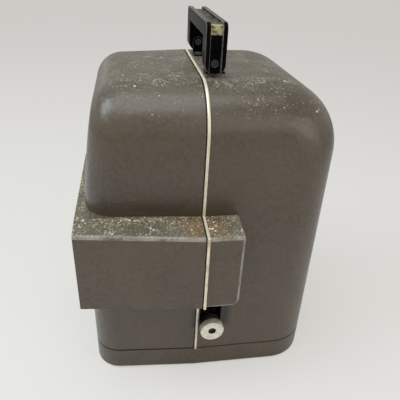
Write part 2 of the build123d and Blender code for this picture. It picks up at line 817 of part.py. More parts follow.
# Shutter shaft, from the drum's hub to its gear
with BuildPart() as shutter_shaft:
    with BuildSketch(Plane.YZ.offset(shutter_right)):
        with Locations(shutter_spot):
            Circle(shaft_r)
    extrude(amount=gear_x + gear_width - shutter_right)
shutter_shaft.part.label = "shutter_shaft"
export_step(shutter_shaft.part, "parts/shutter_shaft.step")


def mesh_phase(spot, teeth):
    """Angle of a driven gear's first tooth when the main gear has a tooth pointing along +Y."""
    line = degrees(atan2(spot[1] - main_spot[1], spot[0] - main_spot[0]))
    main_pitch = 360 / main_teeth
    lead = (0 - line) % main_pitch
    return line + 180 - lead * main_teeth / teeth + 180 / teeth


with BuildPart() as shutter_gear:
    with BuildSketch(Plane.YZ.offset(gear_x)):
        phase = mesh_phase(shutter_spot, shutter_teeth)
        gear_outline(shutter_spot, shutter_teeth, gear_module, phase, shaft_r)
    extrude(amount=gear_width)
shutter_gear.part.label = "shutter_gear"
export_step(shutter_gear.part, "parts/shutter_gear.step")

# Main gear on its shaft, lightened by five holes
with BuildPart() as main_gear:
    with BuildSketch(Plane.YZ.offset(gear_x)):
        gear_outline(main_spot, main_teeth, gear_module, 0, shaft_r)
        with Locations(main_spot):
            with PolarLocations(17.5, 5):
                Circle(6.5, mode=Mode.SUBTRACT)
    extrude(amount=gear_width)
main_gear.part.label = "main_gear"
export_step(main_gear.part, "parts/main_gear.step")

with BuildPart() as main_shaft:
    with BuildSketch(Plane.YZ.offset(plate_x + 0.4)):
        with Locations(main_spot):
            Circle(shaft_r)
    extrude(amount=belt_x + 4 - plate_x)
main_shaft.part.label = "main_shaft"
export_step(main_shaft.part, "parts/main_shaft.step")


def pulley(spot, radius, x, bore):
    """A grooved pulley centred on x: radius is where the belt's middle runs."""
    half = 3.2
    outer = radius + 1.2
    groove_mouth = 2.5
    groove_floor = 1.2
    groove_depth = 3.8
    with BuildPart() as wheel:
        with BuildSketch(Plane.YZ.offset(x - half)):
            with Locations(spot):
                Circle(outer)
                Circle(bore, mode=Mode.SUBTRACT)
        extrude(amount=2 * half)
        with BuildSketch(Plane.XZ.offset(-spot[0])):
            with Locations((x, spot[1] + outer)):
                Polygon(
                    (-groove_mouth, 0.4),
                    (-groove_floor, -groove_depth),
                    (groove_floor, -groove_depth),
                    (groove_mouth, 0.4),
                    align=None,
                )
        revolve(axis=Axis((0, spot[0], spot[1]), (1, 0, 0)), mode=Mode.SUBTRACT)
    return wheel.part


with BuildPart() as main_pulley:
    add(pulley(main_spot, main_pulley_r, belt_x, shaft_r))
main_pulley.part.label = "main_pulley"
export_step(main_pulley.part, "parts/main_pulley.step")


def sprocket(spot):
    """A film sprocket turned in one with its shaft: a drum with teeth at both film edges."""
    teeth = 12
    tooth_width = 1.0
    edge = 3.0
    film_left = axis_x - film_width / 2
    film_right = axis_x + film_width / 2
    with BuildPart() as drum:
        with BuildSketch(Plane.YZ.offset(film_left)):
            with Locations(spot):
                Circle(sprocket_r)
        extrude(amount=film_width)
        with BuildSketch(Plane.YZ.offset(film_left + edge)):
            with Locations(spot):
                Circle(sprocket_r + 1)
                Circle(sprocket_r - 1.5, mode=Mode.SUBTRACT)
        extrude(amount=film_width - 2 * edge, mode=Mode.SUBTRACT)
        for row_x in (film_left + 0.8, film_right - 0.8 - tooth_width):
            with BuildSketch(Plane.YZ.offset(row_x)):
                with Locations(spot):
                    with PolarLocations(sprocket_r, teeth):
                        Polygon((-0.5, -0.7), (1.1, -0.35), (1.1, 0.35), (-0.5, 0.7), align=None)
            extrude(amount=tooth_width)
        with BuildSketch(Plane.YZ.offset(film_left - 2)):
            with Locations(spot):
                Circle(5.0)
        extrude(amount=2.0)
        with BuildSketch(Plane.YZ.offset(film_right)):
            with Locations(spot):
                Circle(shaft_r)
        extrude(amount=gear_x + gear_width - film_right)
    return drum.part


def driven_gear(spot):
    """The gear behind the plate that turns a sprocket."""
    with BuildPart() as wheel:
        with BuildSketch(Plane.YZ.offset(gear_x)):
            gear_outline(spot, sprocket_teeth, gear_module, mesh_phase(spot, sprocket_teeth), shaft_r)
            with Locations(spot):
                with PolarLocations(9.0, 4):
                    Circle(3.2, mode=Mode.SUBTRACT)
        extrude(amount=gear_width)
    return wheel.part


# Upper and lower sprockets with their gears
for level, spot in (("upper", upper_spot), ("lower", lower_spot)):
    for kind, make in (("sprocket", sprocket), ("gear", driven_gear)):
        with BuildPart() as piece:
            add(make(spot))
        piece.part.label = f"{level}_{kind}"
        export_step(piece.part, f"parts/{level}_{kind}.step")

# Film shoes: curved keepers beside each sprocket, standing out from the plate
with BuildPart() as film_shoes:
    for spot, middle in ((upper_spot, 120.0), (lower_spot, -120.0)):
        with BuildSketch(Plane.YZ.offset(plate_x)):
            with Locations(spot):
                Circle(sprocket_r + 4.4)
                Circle(sprocket_r + 2.0, mode=Mode.SUBTRACT)
            with BuildLine():
                Polyline(
                    spot,
                    (spot[0] + 40 * cos(radians(middle - 32)), spot[1] + 40 * sin(radians(middle - 32))),
                    (spot[0] + 40 * cos(radians(middle + 32)), spot[1] + 40 * sin(radians(middle + 32))),
                    close=True,
                )
            make_face(mode=Mode.INTERSECT)
        extrude(amount=-(plate_x - axis_x + film_width / 2))
film_shoes.part.label = "film_shoes"
export_step(film_shoes.part, "parts/film_shoes.step")

# Lamphouse: a folded sheet box with air slots and a stepped light-tight cap
lamphouse_left = seam_x - 84.0
lamphouse_width = plate_x - lamphouse_left
lamphouse_depth = lamphouse_back - lamphouse_front
lamphouse_mid_x = (plate_x + lamphouse_left) / 2
lamphouse_mid_y = (lamphouse_front + lamphouse_back) / 2
sheet = 1.2
with BuildPart() as lamphouse:
    with BuildSketch(Plane.XY.offset(lamphouse_bottom)):
        with Locations((lamphouse_mid_x, lamphouse_mid_y)):
            RectangleRounded(lamphouse_width, lamphouse_depth, 10.0)
    extrude(amount=lamphouse_top - lamphouse_bottom)
    with BuildSketch(Plane.XY.offset(lamphouse_bottom + sheet)):
        with Locations((lamphouse_mid_x, lamphouse_mid_y)):
            RectangleRounded(lamphouse_width - 2 * sheet, lamphouse_depth - 2 * sheet, 9.0)
    extrude(amount=lamphouse_top - lamphouse_bottom, mode=Mode.SUBTRACT)
    with BuildSketch(Plane.YZ.offset(lamphouse_left - 5)):
        with Locations((lamphouse_mid_y, axis_z - 38.0), (lamphouse_mid_y, axis_z + 42.0)):
            with GridLocations(7.0, 1.0, 6, 1):
                SlotOverall(26.0, 3.0, rotation=90)
    extrude(amount=12, mode=Mode.SUBTRACT)
    with BuildSketch(Plane.XZ.offset(-(lamphouse_front + 5))):
        with Locations((axis_x, axis_z)):
            Circle(14.0)
    extrude(amount=12, mode=Mode.SUBTRACT)
    with BuildSketch(Plane.XY.offset(lamphouse_bottom - 2)):
        with Locations((axis_x, lamp_y)):
            Circle(15.0)
            with PolarLocations(22.0, 8):
                Circle(2.6)
    extrude(amount=6, mode=Mode.SUBTRACT)
    with BuildSketch(Plane.YZ.offset(plate_x - 5)):
        with Locations((motor_y, motor_z + 26.0)):
            Rectangle(38.0, 26.0)
    extrude(amount=8, mode=Mode.SUBTRACT)
lamphouse.part.label = "lamphouse"
export_step(lamphouse.part, "parts/lamphouse.step")

with BuildPart() as lamphouse_cap:
    with BuildSketch(Plane.XY.offset(lamphouse_top)):
        with Locations((lamphouse_mid_x, lamphouse_mid_y)):
            RectangleRounded(lamphouse_width, lamphouse_depth, 10.0)
            with GridLocations(9.0, 22.0, 6, 2):
                SlotOverall(18.0, 3.4, rotation=90, mode=Mode.SUBTRACT)
    extrude(amount=2.0)
    with BuildSketch(Plane.XY.offset(lamphouse_top + 2)):
        with Locations((lamphouse_mid_x, lamphouse_mid_y)):
            with GridLocations(lamphouse_width - 12, lamphouse_depth - 12, 2, 2):
                Circle(3.0)
    extrude(amount=5.0)
    with BuildSketch(Plane.XY.offset(lamphouse_top + 7)):
        with Locations((lamphouse_mid_x, lamphouse_mid_y)):
            RectangleRounded(lamphouse_width - 4, lamphouse_depth - 4, 9.0)
    extrude(amount=1.2)
lamphouse_cap.part.label = "lamphouse_cap"
export_step(lamphouse_cap.part, "parts/lamphouse_cap.step")

# Lamp socket under the lamphouse floor, lamp collar and tubular bulb
with BuildPart() as lamp_socket:
    with BuildSketch(Plane.XY.offset(lamphouse_bottom - 13)):
        with Locations((axis_x, lamp_y)):
            Circle(13.0)
            Circle(8.0, mode=Mode.SUBTRACT)
    extrude(amount=21)
    with BuildSketch(Plane.XY.offset(lamphouse_bottom - 13)):
        with Locations((axis_x + 12, lamp_y)):
            Rectangle(plate_x - axis_x - 12, 10.0, align=(Align.MIN, Align.CENTER))
    extrude(amount=3)
lamp_socket.part.label = "lamp_socket"
export_step(lamp_socket.part, "parts/lamp_socket.step")

lamp_base_z = lamphouse_bottom + 8.0
with BuildPart() as lamp_collar:
    with BuildSketch(Plane.XY.offset(lamp_base_z)):
        with Locations((axis_x, lamp_y)):
            Circle(15.5)
    extrude(amount=2)
    with BuildSketch(Plane.XY.offset(lamp_base_z + 2)):
        with Locations((axis_x, lamp_y)):
            Circle(12.5)
    extrude(amount=10)
    with BuildSketch(Plane.XY.offset(lamp_base_z - 14)):
        with Locations((axis_x, lamp_y)):
            Circle(7.9)
    extrude(amount=14)
lamp_collar.part.label = "lamp_collar"
export_step(lamp_collar.part, "parts/lamp_collar.step")

bulb_bottom = lamp_base_z + 12
bulb_top = 202.0
with BuildPart() as lamp_bulb:
    with BuildSketch(Plane.XZ.offset(-lamp_y)):
        with BuildLine():
            Line((axis_x, bulb_bottom), (axis_x + 11.5, bulb_bottom))
            Spline(
                (axis_x + 11.5, bulb_bottom),
                (axis_x + 15.0, bulb_bottom + 12),
                tangents=((0.1, 1), (0, 1)),
            )
            Line((axis_x + 15.0, bulb_bottom + 12), (axis_x + 15.0, bulb_top - 15))
            RadiusArc((axis_x + 15.0, bulb_top - 15), (axis_x, bulb_top), -15)
            Line((axis_x, bulb_top), (axis_x, bulb_bottom))
        make_face()
    revolve(axis=Axis((axis_x, lamp_y, 0), (0, 0, 1)))
lamp_bulb.part.label = "lamp_bulb"
export_step(lamp_bulb.part, "parts/lamp_bulb.step")

# Reflector: a dished mirror behind the lamp, on a stem to the lamphouse wall
mirror_r = 36.8
mirror_back = lamp_y + 25.8
with BuildPart() as reflector:
    with Locations((axis_x, mirror_back - mirror_r, axis_z)):
        Sphere(mirror_r)
        Sphere(mirror_r - 1.6, mode=Mode.SUBTRACT)
    with Locations(Location((axis_x, mirror_back - 6, axis_z), (90, 0, 0))):
        Cylinder(18.0, 12.0, mode=Mode.INTERSECT)
    with BuildSketch(Plane.XZ.offset(-(lamphouse_back - sheet))):
        with Locations((axis_x, axis_z)):
            Circle(3.0)
    extrude(amount=lamphouse_back - sheet - mirror_back + 0.6)
reflector.part.label = "reflector"
export_step(reflector.part, "parts/reflector.step")

# Condenser: two glasses in a flanged tube on the front of the lamphouse
tube_front = lamphouse_front - 10.5
with BuildPart() as condenser_tube:
    with BuildSketch(Plane.XZ.offset(-lamphouse_front)):
        with Locations((axis_x, axis_z)):
            Circle(18.5)
            Circle(14.0, mode=Mode.SUBTRACT)
    extrude(amount=1.5)
    with BuildSketch(Plane.XZ.offset(-lamphouse_front)):
        with Locations((axis_x, axis_z)):
            Circle(15.5)
            Circle(14.0, mode=Mode.SUBTRACT)
    extrude(amount=10.5)
condenser_tube.part.label = "condenser_tube"
export_step(condenser_tube.part, "parts/condenser_tube.step")

with BuildPart() as condenser_glasses:
    add(plano_convex(tube_front + 0.6, tube_front + 4.6, 13.95, 1.2))
    add(plano_convex(tube_front + 10.0, tube_front + 5.2, 13.95, 1.2))
condenser_glasses.part.label = "condenser_glasses"
export_step(condenser_glasses.part, "parts/condenser_glasses.step")

# Motor: a drawn can with ribbed end bells and cooling slots
motor_x = fan_x + fan_width + 8.0
motor_length = 58.0
motor_axis = Axis((0, motor_y, motor_z), (1, 0, 0))
with BuildPart() as motor_housing:
    with BuildSketch(Plane.XZ.offset(-motor_y)):
        with BuildLine():
            Polyline(
                (motor_x, motor_z + 5.5),
                (motor_x, motor_z + 12),
                (motor_x + 4, motor_z + 14),
                (motor_x + 8, motor_z + motor_r - 3),
                (motor_x + 14, motor_z + motor_r),
                (motor_x + motor_length - 14, motor_z + motor_r),
                (motor_x + motor_length - 8, motor_z + motor_r - 3),
                (motor_x + motor_length - 4, motor_z + 12),
                (motor_x + motor_length, motor_z + 9),
                (motor_x + motor_length, motor_z),
                (motor_x + 30, motor_z),
                (motor_x + 30, motor_z + 5.5),
                close=True,
            )
        make_face()
    revolve(axis=motor_axis)
    with BuildSketch(Plane.YZ.offset(motor_x + 20)):
        with Locations((motor_y, motor_z)):
            with PolarLocations(motor_r, 16):
                Rectangle(4.0, 3.0)
    extrude(amount=motor_length - 40, mode=Mode.SUBTRACT)
motor_housing.part.label = "motor_housing"
export_step(motor_housing.part, "parts/motor_housing.step")

# Motor cradle, bolted to the deck
with BuildPart() as motor_cradle:
    with BuildSketch(Plane.YZ.offset(motor_x + 12)):
        with Locations((motor_y, base_top)):
            Trapezoid(66.0, motor_z - base_top, 75, align=(Align.CENTER, Align.MIN))
            Rectangle(36.0, 16.0, align=(Align.CENTER, Align.MIN), mode=Mode.SUBTRACT)
        with Locations((motor_y, motor_z)):
            Circle(motor_r + 0.02, mode=Mode.SUBTRACT)
    extrude(amount=5.0)
    mirror(about=Plane.YZ.offset(motor_x + motor_length / 2))
    with BuildSketch(Plane.XY.offset(base_top)):
        with Locations((motor_x + motor_length / 2, motor_y)):
            with GridLocations(1.0, 56.0, 1, 2):
                Rectangle(motor_length - 24, 10.0)
    extrude(amount=2.5)
motor_cradle.part.label = "motor_cradle"
export_step(motor_cradle.part, "parts/motor_cradle.step")

# Motor shaft with its pulley and the squirrel-cage fan
motor_shaft_r = 4.0
with BuildPart() as motor_shaft:
    with BuildSketch(Plane.YZ.offset(belt_x - 5)):
        with Locations((motor_y, motor_z)):
            Circle(motor_shaft_r)
    extrude(amount=motor_x + 28 - belt_x + 5)
motor_shaft.part.label = "motor_shaft"
export_step(motor_shaft.part, "parts/motor_shaft.step")

with BuildPart() as motor_pulley:
    add(pulley((motor_y, motor_z), motor_pulley_r, belt_x, motor_shaft_r))
motor_pulley.part.label = "motor_pulley"
export_step(motor_pulley.part, "parts/motor_pulley.step")

blades = 24
with BuildPart() as fan_wheel:
    with BuildSketch(Plane.YZ.offset(fan_x)):
        with Locations((motor_y, motor_z)):
            with PolarLocations(fan_r - 5.0, blades):
                Rectangle(8.0, 1.0, rotation=35)
    extrude(amount=fan_width)
    with BuildSketch(Plane.YZ.offset(fan_x + fan_width - 1.2)):
        with Locations((motor_y, motor_z)):
            Circle(fan_r - 0.6)
            Circle(motor_shaft_r, mode=Mode.SUBTRACT)
    extrude(amount=1.2)
    with BuildSketch(Plane.YZ.offset(fan_x)):
        with Locations((motor_y, motor_z)):
            Circle(fan_r - 0.6)
            Circle(fan_r - 5.5, mode=Mode.SUBTRACT)
    extrude(amount=1.2)
    with BuildSketch(Plane.YZ.offset(fan_x + fan_width - 9)):
        with Locations((motor_y, motor_z)):
            Circle(7.5)
            Circle(motor_shaft_r, mode=Mode.SUBTRACT)
    extrude(amount=8)
fan_wheel.part.label = "fan_wheel"
export_step(fan_wheel.part, "parts/fan_wheel.step")

# Fan shroud: a scroll open at its eye and at the outlet above
scroll_r = fan_r + 4.0
with BuildPart() as fan_shroud:
    with BuildSketch(Plane.YZ.offset(fan_x - 2)):
        with Locations((motor_y, motor_z)):
            Circle(scroll_r + 1.5)
        with Locations((motor_y - scroll_r - 1.5, motor_z)):
            Rectangle(30.0, 50.0, align=(Align.MIN, Align.MIN))
    extrude(amount=fan_width + 4)
    with BuildSketch(Plane.YZ.offset(fan_x - 0.5)):
        with Locations((motor_y, motor_z)):
            Circle(scroll_r)
        with Locations((motor_y - scroll_r, motor_z)):
            Rectangle(27.0, 60.0, align=(Align.MIN, Align.MIN))
    extrude(amount=fan_width + 1, mode=Mode.SUBTRACT)
    with BuildSketch(Plane.YZ.offset(fan_x - 3)):
        with Locations((motor_y, motor_z)):
            Circle(22.0)
    extrude(amount=fan_width + 6, mode=Mode.SUBTRACT)
fan_shroud.part.label = "fan_shroud"
export_step(fan_shroud.part, "parts/fan_shroud.step")


def belt_hull(motor_radius, main_radius):
    """The loop round both pulleys, drawn in (y, z)."""
    with Locations((motor_y, motor_z)):
        Circle(motor_radius)
    with Locations(main_spot):
        Circle(main_radius)
    make_hull()


# Drive belt between the pulleys, running in their grooves
with BuildPart() as drive_belt:
    with BuildSketch(Plane.YZ.offset(belt_x - belt_r * 0.6)):
        belt_hull(motor_pulley_r + belt_r * 0.6, main_pulley_r + belt_r * 0.6)
    extrude(amount=belt_r * 1.2)
    with BuildSketch(Plane.YZ.offset(belt_x - belt_r)):
        belt_hull(motor_pulley_r - belt_r * 0.6, main_pulley_r - belt_r * 0.6)
    extrude(amount=belt_r * 2, mode=Mode.SUBTRACT)
drive_belt.part.label = "drive_belt"
export_step(drive_belt.part, "parts/drive_belt.step")


def reel_arm(pivot):
    """A pressed arm folded forward along the plate, with a hub that turns in the plate's bush."""
    end = (pivot[0] - arm_length, pivot[1])
    with BuildPart() as arm:
        with BuildSketch(Plane.YZ.offset(arm_x)):
            with Locations(pivot):
                Circle(11.0)
            with Locations(end):
                Circle(7.5)
            make_hull()
            with Locations(end):
                Circle(spindle_r - 1.0 + bush_fit, mode=Mode.SUBTRACT)
            with Locations(((pivot[0] + end[0]) / 2, pivot[1])):
                SlotOverall(arm_length - 44, 7.0, mode=Mode.SUBTRACT)
        extrude(amount=arm_thickness)
        with BuildSketch(Plane.YZ.offset(arm_x)):
            with Locations(pivot):
                Circle(arm_journal_r)
        extrude(amount=seam_x + 4.0 - arm_x)
    return arm.part


def reel_spindle(pivot):
    """A spindle for a reel: square neck, flange and a slim journal through the arm."""
    spot = (pivot[0] - arm_length, pivot[1])
    with BuildPart() as spindle:
        with BuildSketch(Plane.YZ.offset(arm_x - 0.3)):
            with Locations(spot):
                Circle(6.0)
        extrude(amount=-2.0)
        with BuildSketch(Plane.YZ.offset(arm_x - 2.3)):
            with Locations(spot):
                Rectangle(7.6, 7.6)
        extrude(amount=-8.0)
        with BuildSketch(Plane.YZ.offset(arm_x - 10.3)):
            with Locations(spot):
                Circle(spindle_r)
        extrude(amount=-16.0)
        chamfer(spindle.faces().sort_by(Axis.X)[0].edges(), 1.2)
        with BuildSketch(Plane.YZ.offset(arm_x - 0.3)):
            with Locations(spot):
                Circle(spindle_r - 1.0)
        extrude(amount=arm_thickness + 0.6)
    return spindle.part


# Supply arm above and take-up arm below, each with its spindle
for level, pivot in (("supply", supply_spot), ("take_up", take_up_spot)):
    for kind, make in (("arm", reel_arm), ("spindle", reel_spindle)):
        with BuildPart() as piece:
            add(make(pivot))
        piece.part.label = f"{level}_{kind}"
        export_step(piece.part, f"parts/{level}_{kind}.step")

# Speed knob and lamp switch on the plate
with BuildPart() as speed_knob:
    with BuildSketch(Plane.YZ.offset(plate_x - 0.4)):
        with Locations(speed_spot):
            Circle(9.0)
            with PolarLocations(9.4, 12):
                Circle(1.4, mode=Mode.SUBTRACT)
    extrude(amount=-9.0)
    with BuildSketch(Plane.YZ.offset(plate_x - 0.4)):
        with Locations(speed_spot):
            Circle(3.5)
    extrude(amount=plate_thickness + 6.0)
speed_knob.part.label = "speed_knob"
export_step(speed_knob.part, "parts/speed_knob.step")

with BuildPart() as switch_lever:
    with BuildSketch(Plane.YZ.offset(plate_x - 0.4)):
        with Locations(switch_spot):
            Circle(7.0)
    extrude(amount=-3.0)
    with BuildSketch(Plane.YZ.offset(plate_x - 3.4)):
        with Locations(switch_spot):
            SlotCenterToCenter(12.0, 5.0, rotation=90)
    extrude(amount=-4.0)
    with BuildSketch(Plane.YZ.offset(plate_x - 0.4)):
        with Locations(switch_spot):
            Circle(3.5)
    extrude(amount=plate_thickness + 6.0)
switch_lever.part.label = "switch_lever"
export_step(switch_lever.part, "parts/switch_lever.step")

# Speed resistor: a ribbed ceramic stick held upright by two clips on the deck
resistor_spot = (seam_x + 90.0, front_y + 40.0)
with BuildPart() as speed_resistor:
    with BuildSketch(Plane.XY.offset(base_top)):
        with Locations(resistor_spot):
            Circle(9.0)
    extrude(amount=3.0)
    with BuildSketch(Plane.XY.offset(base_top + 3)):
        with Locations(resistor_spot):
            Circle(6.0)
    extrude(amount=72.0)
    for step in range(12):
        with BuildSketch(Plane.XY.offset(base_top + 9 + 5 * step)):
            with Locations(resistor_spot):
                Circle(7.2)
        extrude(amount=2.0)
speed_resistor.part.label = "speed_resistor"
export_step(speed_resistor.part, "parts/speed_resistor.step")

# Power inlet in the back wall, with its two pins
inlet_back = back_at(inlet_z) - 0.4
with BuildPart() as power_inlet:
    with BuildSketch(Plane.XZ.offset(-inlet_back)):
        with Locations((inlet_x, inlet_z)):
            RectangleRounded(33.6, 21.6, 3.8)
    extrude(amount=22)
    with BuildSketch(Plane.XZ.offset(-inlet_back)):
        with Locations((inlet_x, inlet_z)):
            RectangleRounded(27.0, 15.0, 3.0)
    extrude(amount=17, mode=Mode.SUBTRACT)
power_inlet.part.label = "power_inlet"
export_step(power_inlet.part, "parts/power_inlet.step")

with BuildPart() as inlet_pins:
    with BuildSketch(Plane.XZ.offset(-(inlet_back - 17))):
        with Locations((inlet_x, inlet_z)):
            with GridLocations(12.7, 1.0, 2, 1):
                Circle(2.3)
    extrude(amount=-14)
    fillet(inlet_pins.faces().group_by(Axis.Y)[-1].edges(), 1.4)
inlet_pins.part.label = "inlet_pins"
export_step(inlet_pins.part, "parts/inlet_pins.step")
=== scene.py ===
import bmesh
import bpy
import json
from math import cos, pi, radians, sin
from mathutils import Matrix, Vector


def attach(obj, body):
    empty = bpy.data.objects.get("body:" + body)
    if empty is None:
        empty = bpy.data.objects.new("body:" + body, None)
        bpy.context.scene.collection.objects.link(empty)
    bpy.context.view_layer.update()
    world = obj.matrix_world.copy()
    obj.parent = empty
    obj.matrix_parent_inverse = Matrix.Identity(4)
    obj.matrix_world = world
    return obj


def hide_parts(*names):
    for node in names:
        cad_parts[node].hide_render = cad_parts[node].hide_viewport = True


# A film projector closed in its own enamelled case. Metres, Z up, the same frame as the parts.
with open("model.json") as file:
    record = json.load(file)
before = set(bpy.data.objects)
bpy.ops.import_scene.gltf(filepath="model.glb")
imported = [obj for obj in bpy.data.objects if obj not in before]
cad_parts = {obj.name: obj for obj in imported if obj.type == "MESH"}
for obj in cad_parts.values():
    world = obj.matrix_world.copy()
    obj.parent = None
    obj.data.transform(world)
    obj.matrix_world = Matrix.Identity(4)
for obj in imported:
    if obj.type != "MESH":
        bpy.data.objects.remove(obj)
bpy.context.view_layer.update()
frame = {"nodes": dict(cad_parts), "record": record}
scene = bpy.context.scene

# Places that several pieces and finishes share
layout = {
    "seamX": -0.00965,
    "frontY": -0.0684,
    "baseTop": 0.026,
    "handleX": -0.00045,
    "tiltX": 0.00475,
    "tiltZ": 0.061,
}

# The camera at the photo's angle: turned to the right, tipped down and rolled, in radians.
# Lens and sensor are in millimetres
cameraSettings = {
    "place": (-0.06427, -0.36493, 0.3733),
    "turn": 0.1766,
    "down": 0.5247,
    "roll": 0.0514,
    "lens": 38.79,
    "sensor": 36,
    "nearest": 0.01,
}


def placeCamera(settings):
    turn, down, roll = settings["turn"], settings["down"], settings["roll"]
    forward = Vector((sin(turn) * cos(down), cos(turn) * cos(down), -sin(down)))
    level = Vector((cos(turn), -sin(turn), 0))
    upright = level.cross(forward)
    right = cos(roll) * level + sin(roll) * upright
    up = cos(roll) * upright - sin(roll) * level
    data = bpy.data.cameras.new("photoCamera")
    data.lens = settings["lens"]
    data.sensor_width = settings["sensor"]
    data.clip_start = settings["nearest"]
    camera = bpy.data.objects.new("photoCamera", data)
    scene.collection.objects.link(camera)
    turned = Matrix((right, up, -forward)).transposed().to_4x4()
    camera.matrix_world = Matrix.Translation(settings["place"]) @ turned
    scene.camera = camera


placeCamera(cameraSettings)
scene.view_settings.view_transform = "Standard"
print("camera placed")


# Shader node helpers: an input may be a value or the output of another node
def connect(tree, value, socket):
    if isinstance(value, bpy.types.NodeSocket):
        tree.links.new(value, socket)
    else:
        socket.default_value = value


def addNode(tree, kind, inputs=None, **settings):
    node = tree.nodes.new(kind)
    for key, value in settings.items():
        setattr(node, key, value)
    for key, value in (inputs or {}).items():
        connect(tree, value, node.inputs[key])
    return node


def math(tree, operation, first, second=0.0, clamp=False):
    inputs = {0: first, 1: second}
    node = addNode(tree, "ShaderNodeMath", inputs, operation=operation, use_clamp=clamp)
    return node.outputs[0]


def product(tree, first, *others):
    for other in others:
        first = math(tree, "MULTIPLY", first, other)
    return first


def largest(tree, first, *others):
    for other in others:
        first = math(tree, "MAXIMUM", first, other)
    return first


def vectorMath(tree, operation, first, second=(0.0, 0.0, 0.0)):
    node = addNode(tree, "ShaderNodeVectorMath", {0: first, 1: second}, operation=operation)
    return node.outputs[0]


def separate(tree, vector):
    return addNode(tree, "ShaderNodeSeparateXYZ", {0: vector}).outputs


def objectPlace(tree):
    return addNode(tree, "ShaderNodeTexCoord").outputs["Object"]


def ramp(tree, value, low, high, toLow=0.0, toHigh=1.0):
    inputs = {"Value": value, "From Min": low, "From Max": high, "To Min": toLow, "To Max": toHigh}
    return addNode(tree, "ShaderNodeMapRange", inputs, interpolation_type="SMOOTHSTEP").outputs[0]


def noise(tree, vector, scale, detail=2.0, rough=0.5, offset=None):
    if offset:
        vector = vectorMath(tree, "ADD", vector, offset)
    inputs = {"Vector": vector, "Scale": scale, "Detail": detail, "Roughness": rough}
    return addNode(tree, "ShaderNodeTexNoise", inputs).outputs[0]


def mixValue(tree, share, first, second):
    return addNode(tree, "ShaderNodeMix", {0: share, 2: first, 3: second}).outputs[0]


# The colour sockets of the mix node are numbers 6 and 7, its colour result number 2
def mixColour(tree, share, first, second):
    node = addNode(tree, "ShaderNodeMix", data_type="RGBA")
    for number, value in ((0, share), (6, first), (7, second)):
        connect(tree, value, node.inputs[number])
    return node.outputs[2]


# A colour as it is seen, in parts of 255, turned into the linear values that shaders use
def colour(red, green, blue):
    parts = [v / 255 for v in (red, green, blue)]
    return tuple(v / 12.92 if v < 0.04045 else ((v + 0.055) / 1.055) ** 2.4 for v in parts) + (1,)


def newGroup(name, inputs, outputs):
    group = bpy.data.node_groups.new(name, "ShaderNodeTree")
    for label, value in inputs.items():
        socket = group.interface.new_socket(label, in_out="INPUT", socket_type="NodeSocketFloat")
        socket.default_value = value
    for label in outputs:
        group.interface.new_socket(label, in_out="OUTPUT", socket_type="NodeSocketFloat")
    given = group.nodes.new("NodeGroupInput").outputs
    wanted = group.nodes.new("NodeGroupOutput").inputs
    return group, given, wanted


def useGroup(tree, group, **values):
    return addNode(tree, "ShaderNodeGroup", values, node_tree=group).outputs


# One inside a box given by its centre and half size, falling to nothing over the soft distance
def insideBox(tree, place, centre, half, soft):
    away = vectorMath(tree, "ABSOLUTE", vectorMath(tree, "SUBTRACT", place, centre))
    over = separate(tree, vectorMath(tree, "SUBTRACT", away, half))
    return ramp(tree, largest(tree, over[0], over[1], over[2]), soft, 0.0)


# Specks scattered on a surface: the share of cells that holds one, and its size in a cell
scatterSettings = {"smallest": 0.3, "softEdge": 0.25}


def scatter(tree, place, scale, share, size):
    smallest, softEdge = scatterSettings["smallest"], scatterSettings["softEdge"]
    cells = addNode(tree, "ShaderNodeTexVoronoi", {"Vector": place, "Scale": scale}).outputs
    random = addNode(tree, "ShaderNodeSeparateColor", {0: cells["Color"]}).outputs
    chosen = math(tree, "LESS_THAN", random[0], share)
    spread = math(tree, "ADD", product(tree, random[1], 1 - smallest), smallest)
    inside = math(tree, "DIVIDE", cells["Distance"], product(tree, size, spread))
    return product(tree, chosen, ramp(tree, inside, 1.0, 1.0 - softEdge))


# Dust that has settled on what faces up: a thin film, fine grit, dark dirt, specks and pale flakes.
# A noise is given as its scale, detail, roughness and offset, limits as those of a ramp
dustSettings = {
    "flat": (0.8, 0.95),
    "slope": (0.2, 0.7, 0.0, 0.55),
    "cloud": (4.0, 0.62),
    "cloudLimits": (0.25, 0.75, 0.4, 1.0),
    "clumps": (75.0, 5.0, 0.7, (3.1, 0.7, 1.9)),
    "clumpLimits": (0.38, 0.64, 0.15, 1.5),
    "areas": (42.0, 2.0, 0.5, (6.6, 0.2, 8.8)),
    "areaLimits": (0.4, 0.6, 0.6, 1.25),
    "grit": (560.0, 3.0, 0.85, (2.2, 6.1, 0.4)),
    "gritLevel": 0.61,
    "gritReach": 0.11,
    "gritSoft": 0.06,
    "dirt": (480.0, 4.0, 0.85, (7.3, 1.1, 5.2)),
    "dirtLimits": (0.45, 0.55),
    "heapThins": 0.12,
    "heapGrit": 0.4,
    "heapLimits": (0.2, 1.3, 1.5, 6.5),
    "speckSlope": (0.0, 0.95),
    "speckPower": 3.0,
    "raggedScale": 900.0,
    "ragged": 0.0022,
    "scattered": (("Specks", 900.0, 0.55), ("Flakes", 480.0, 0.5)),
}


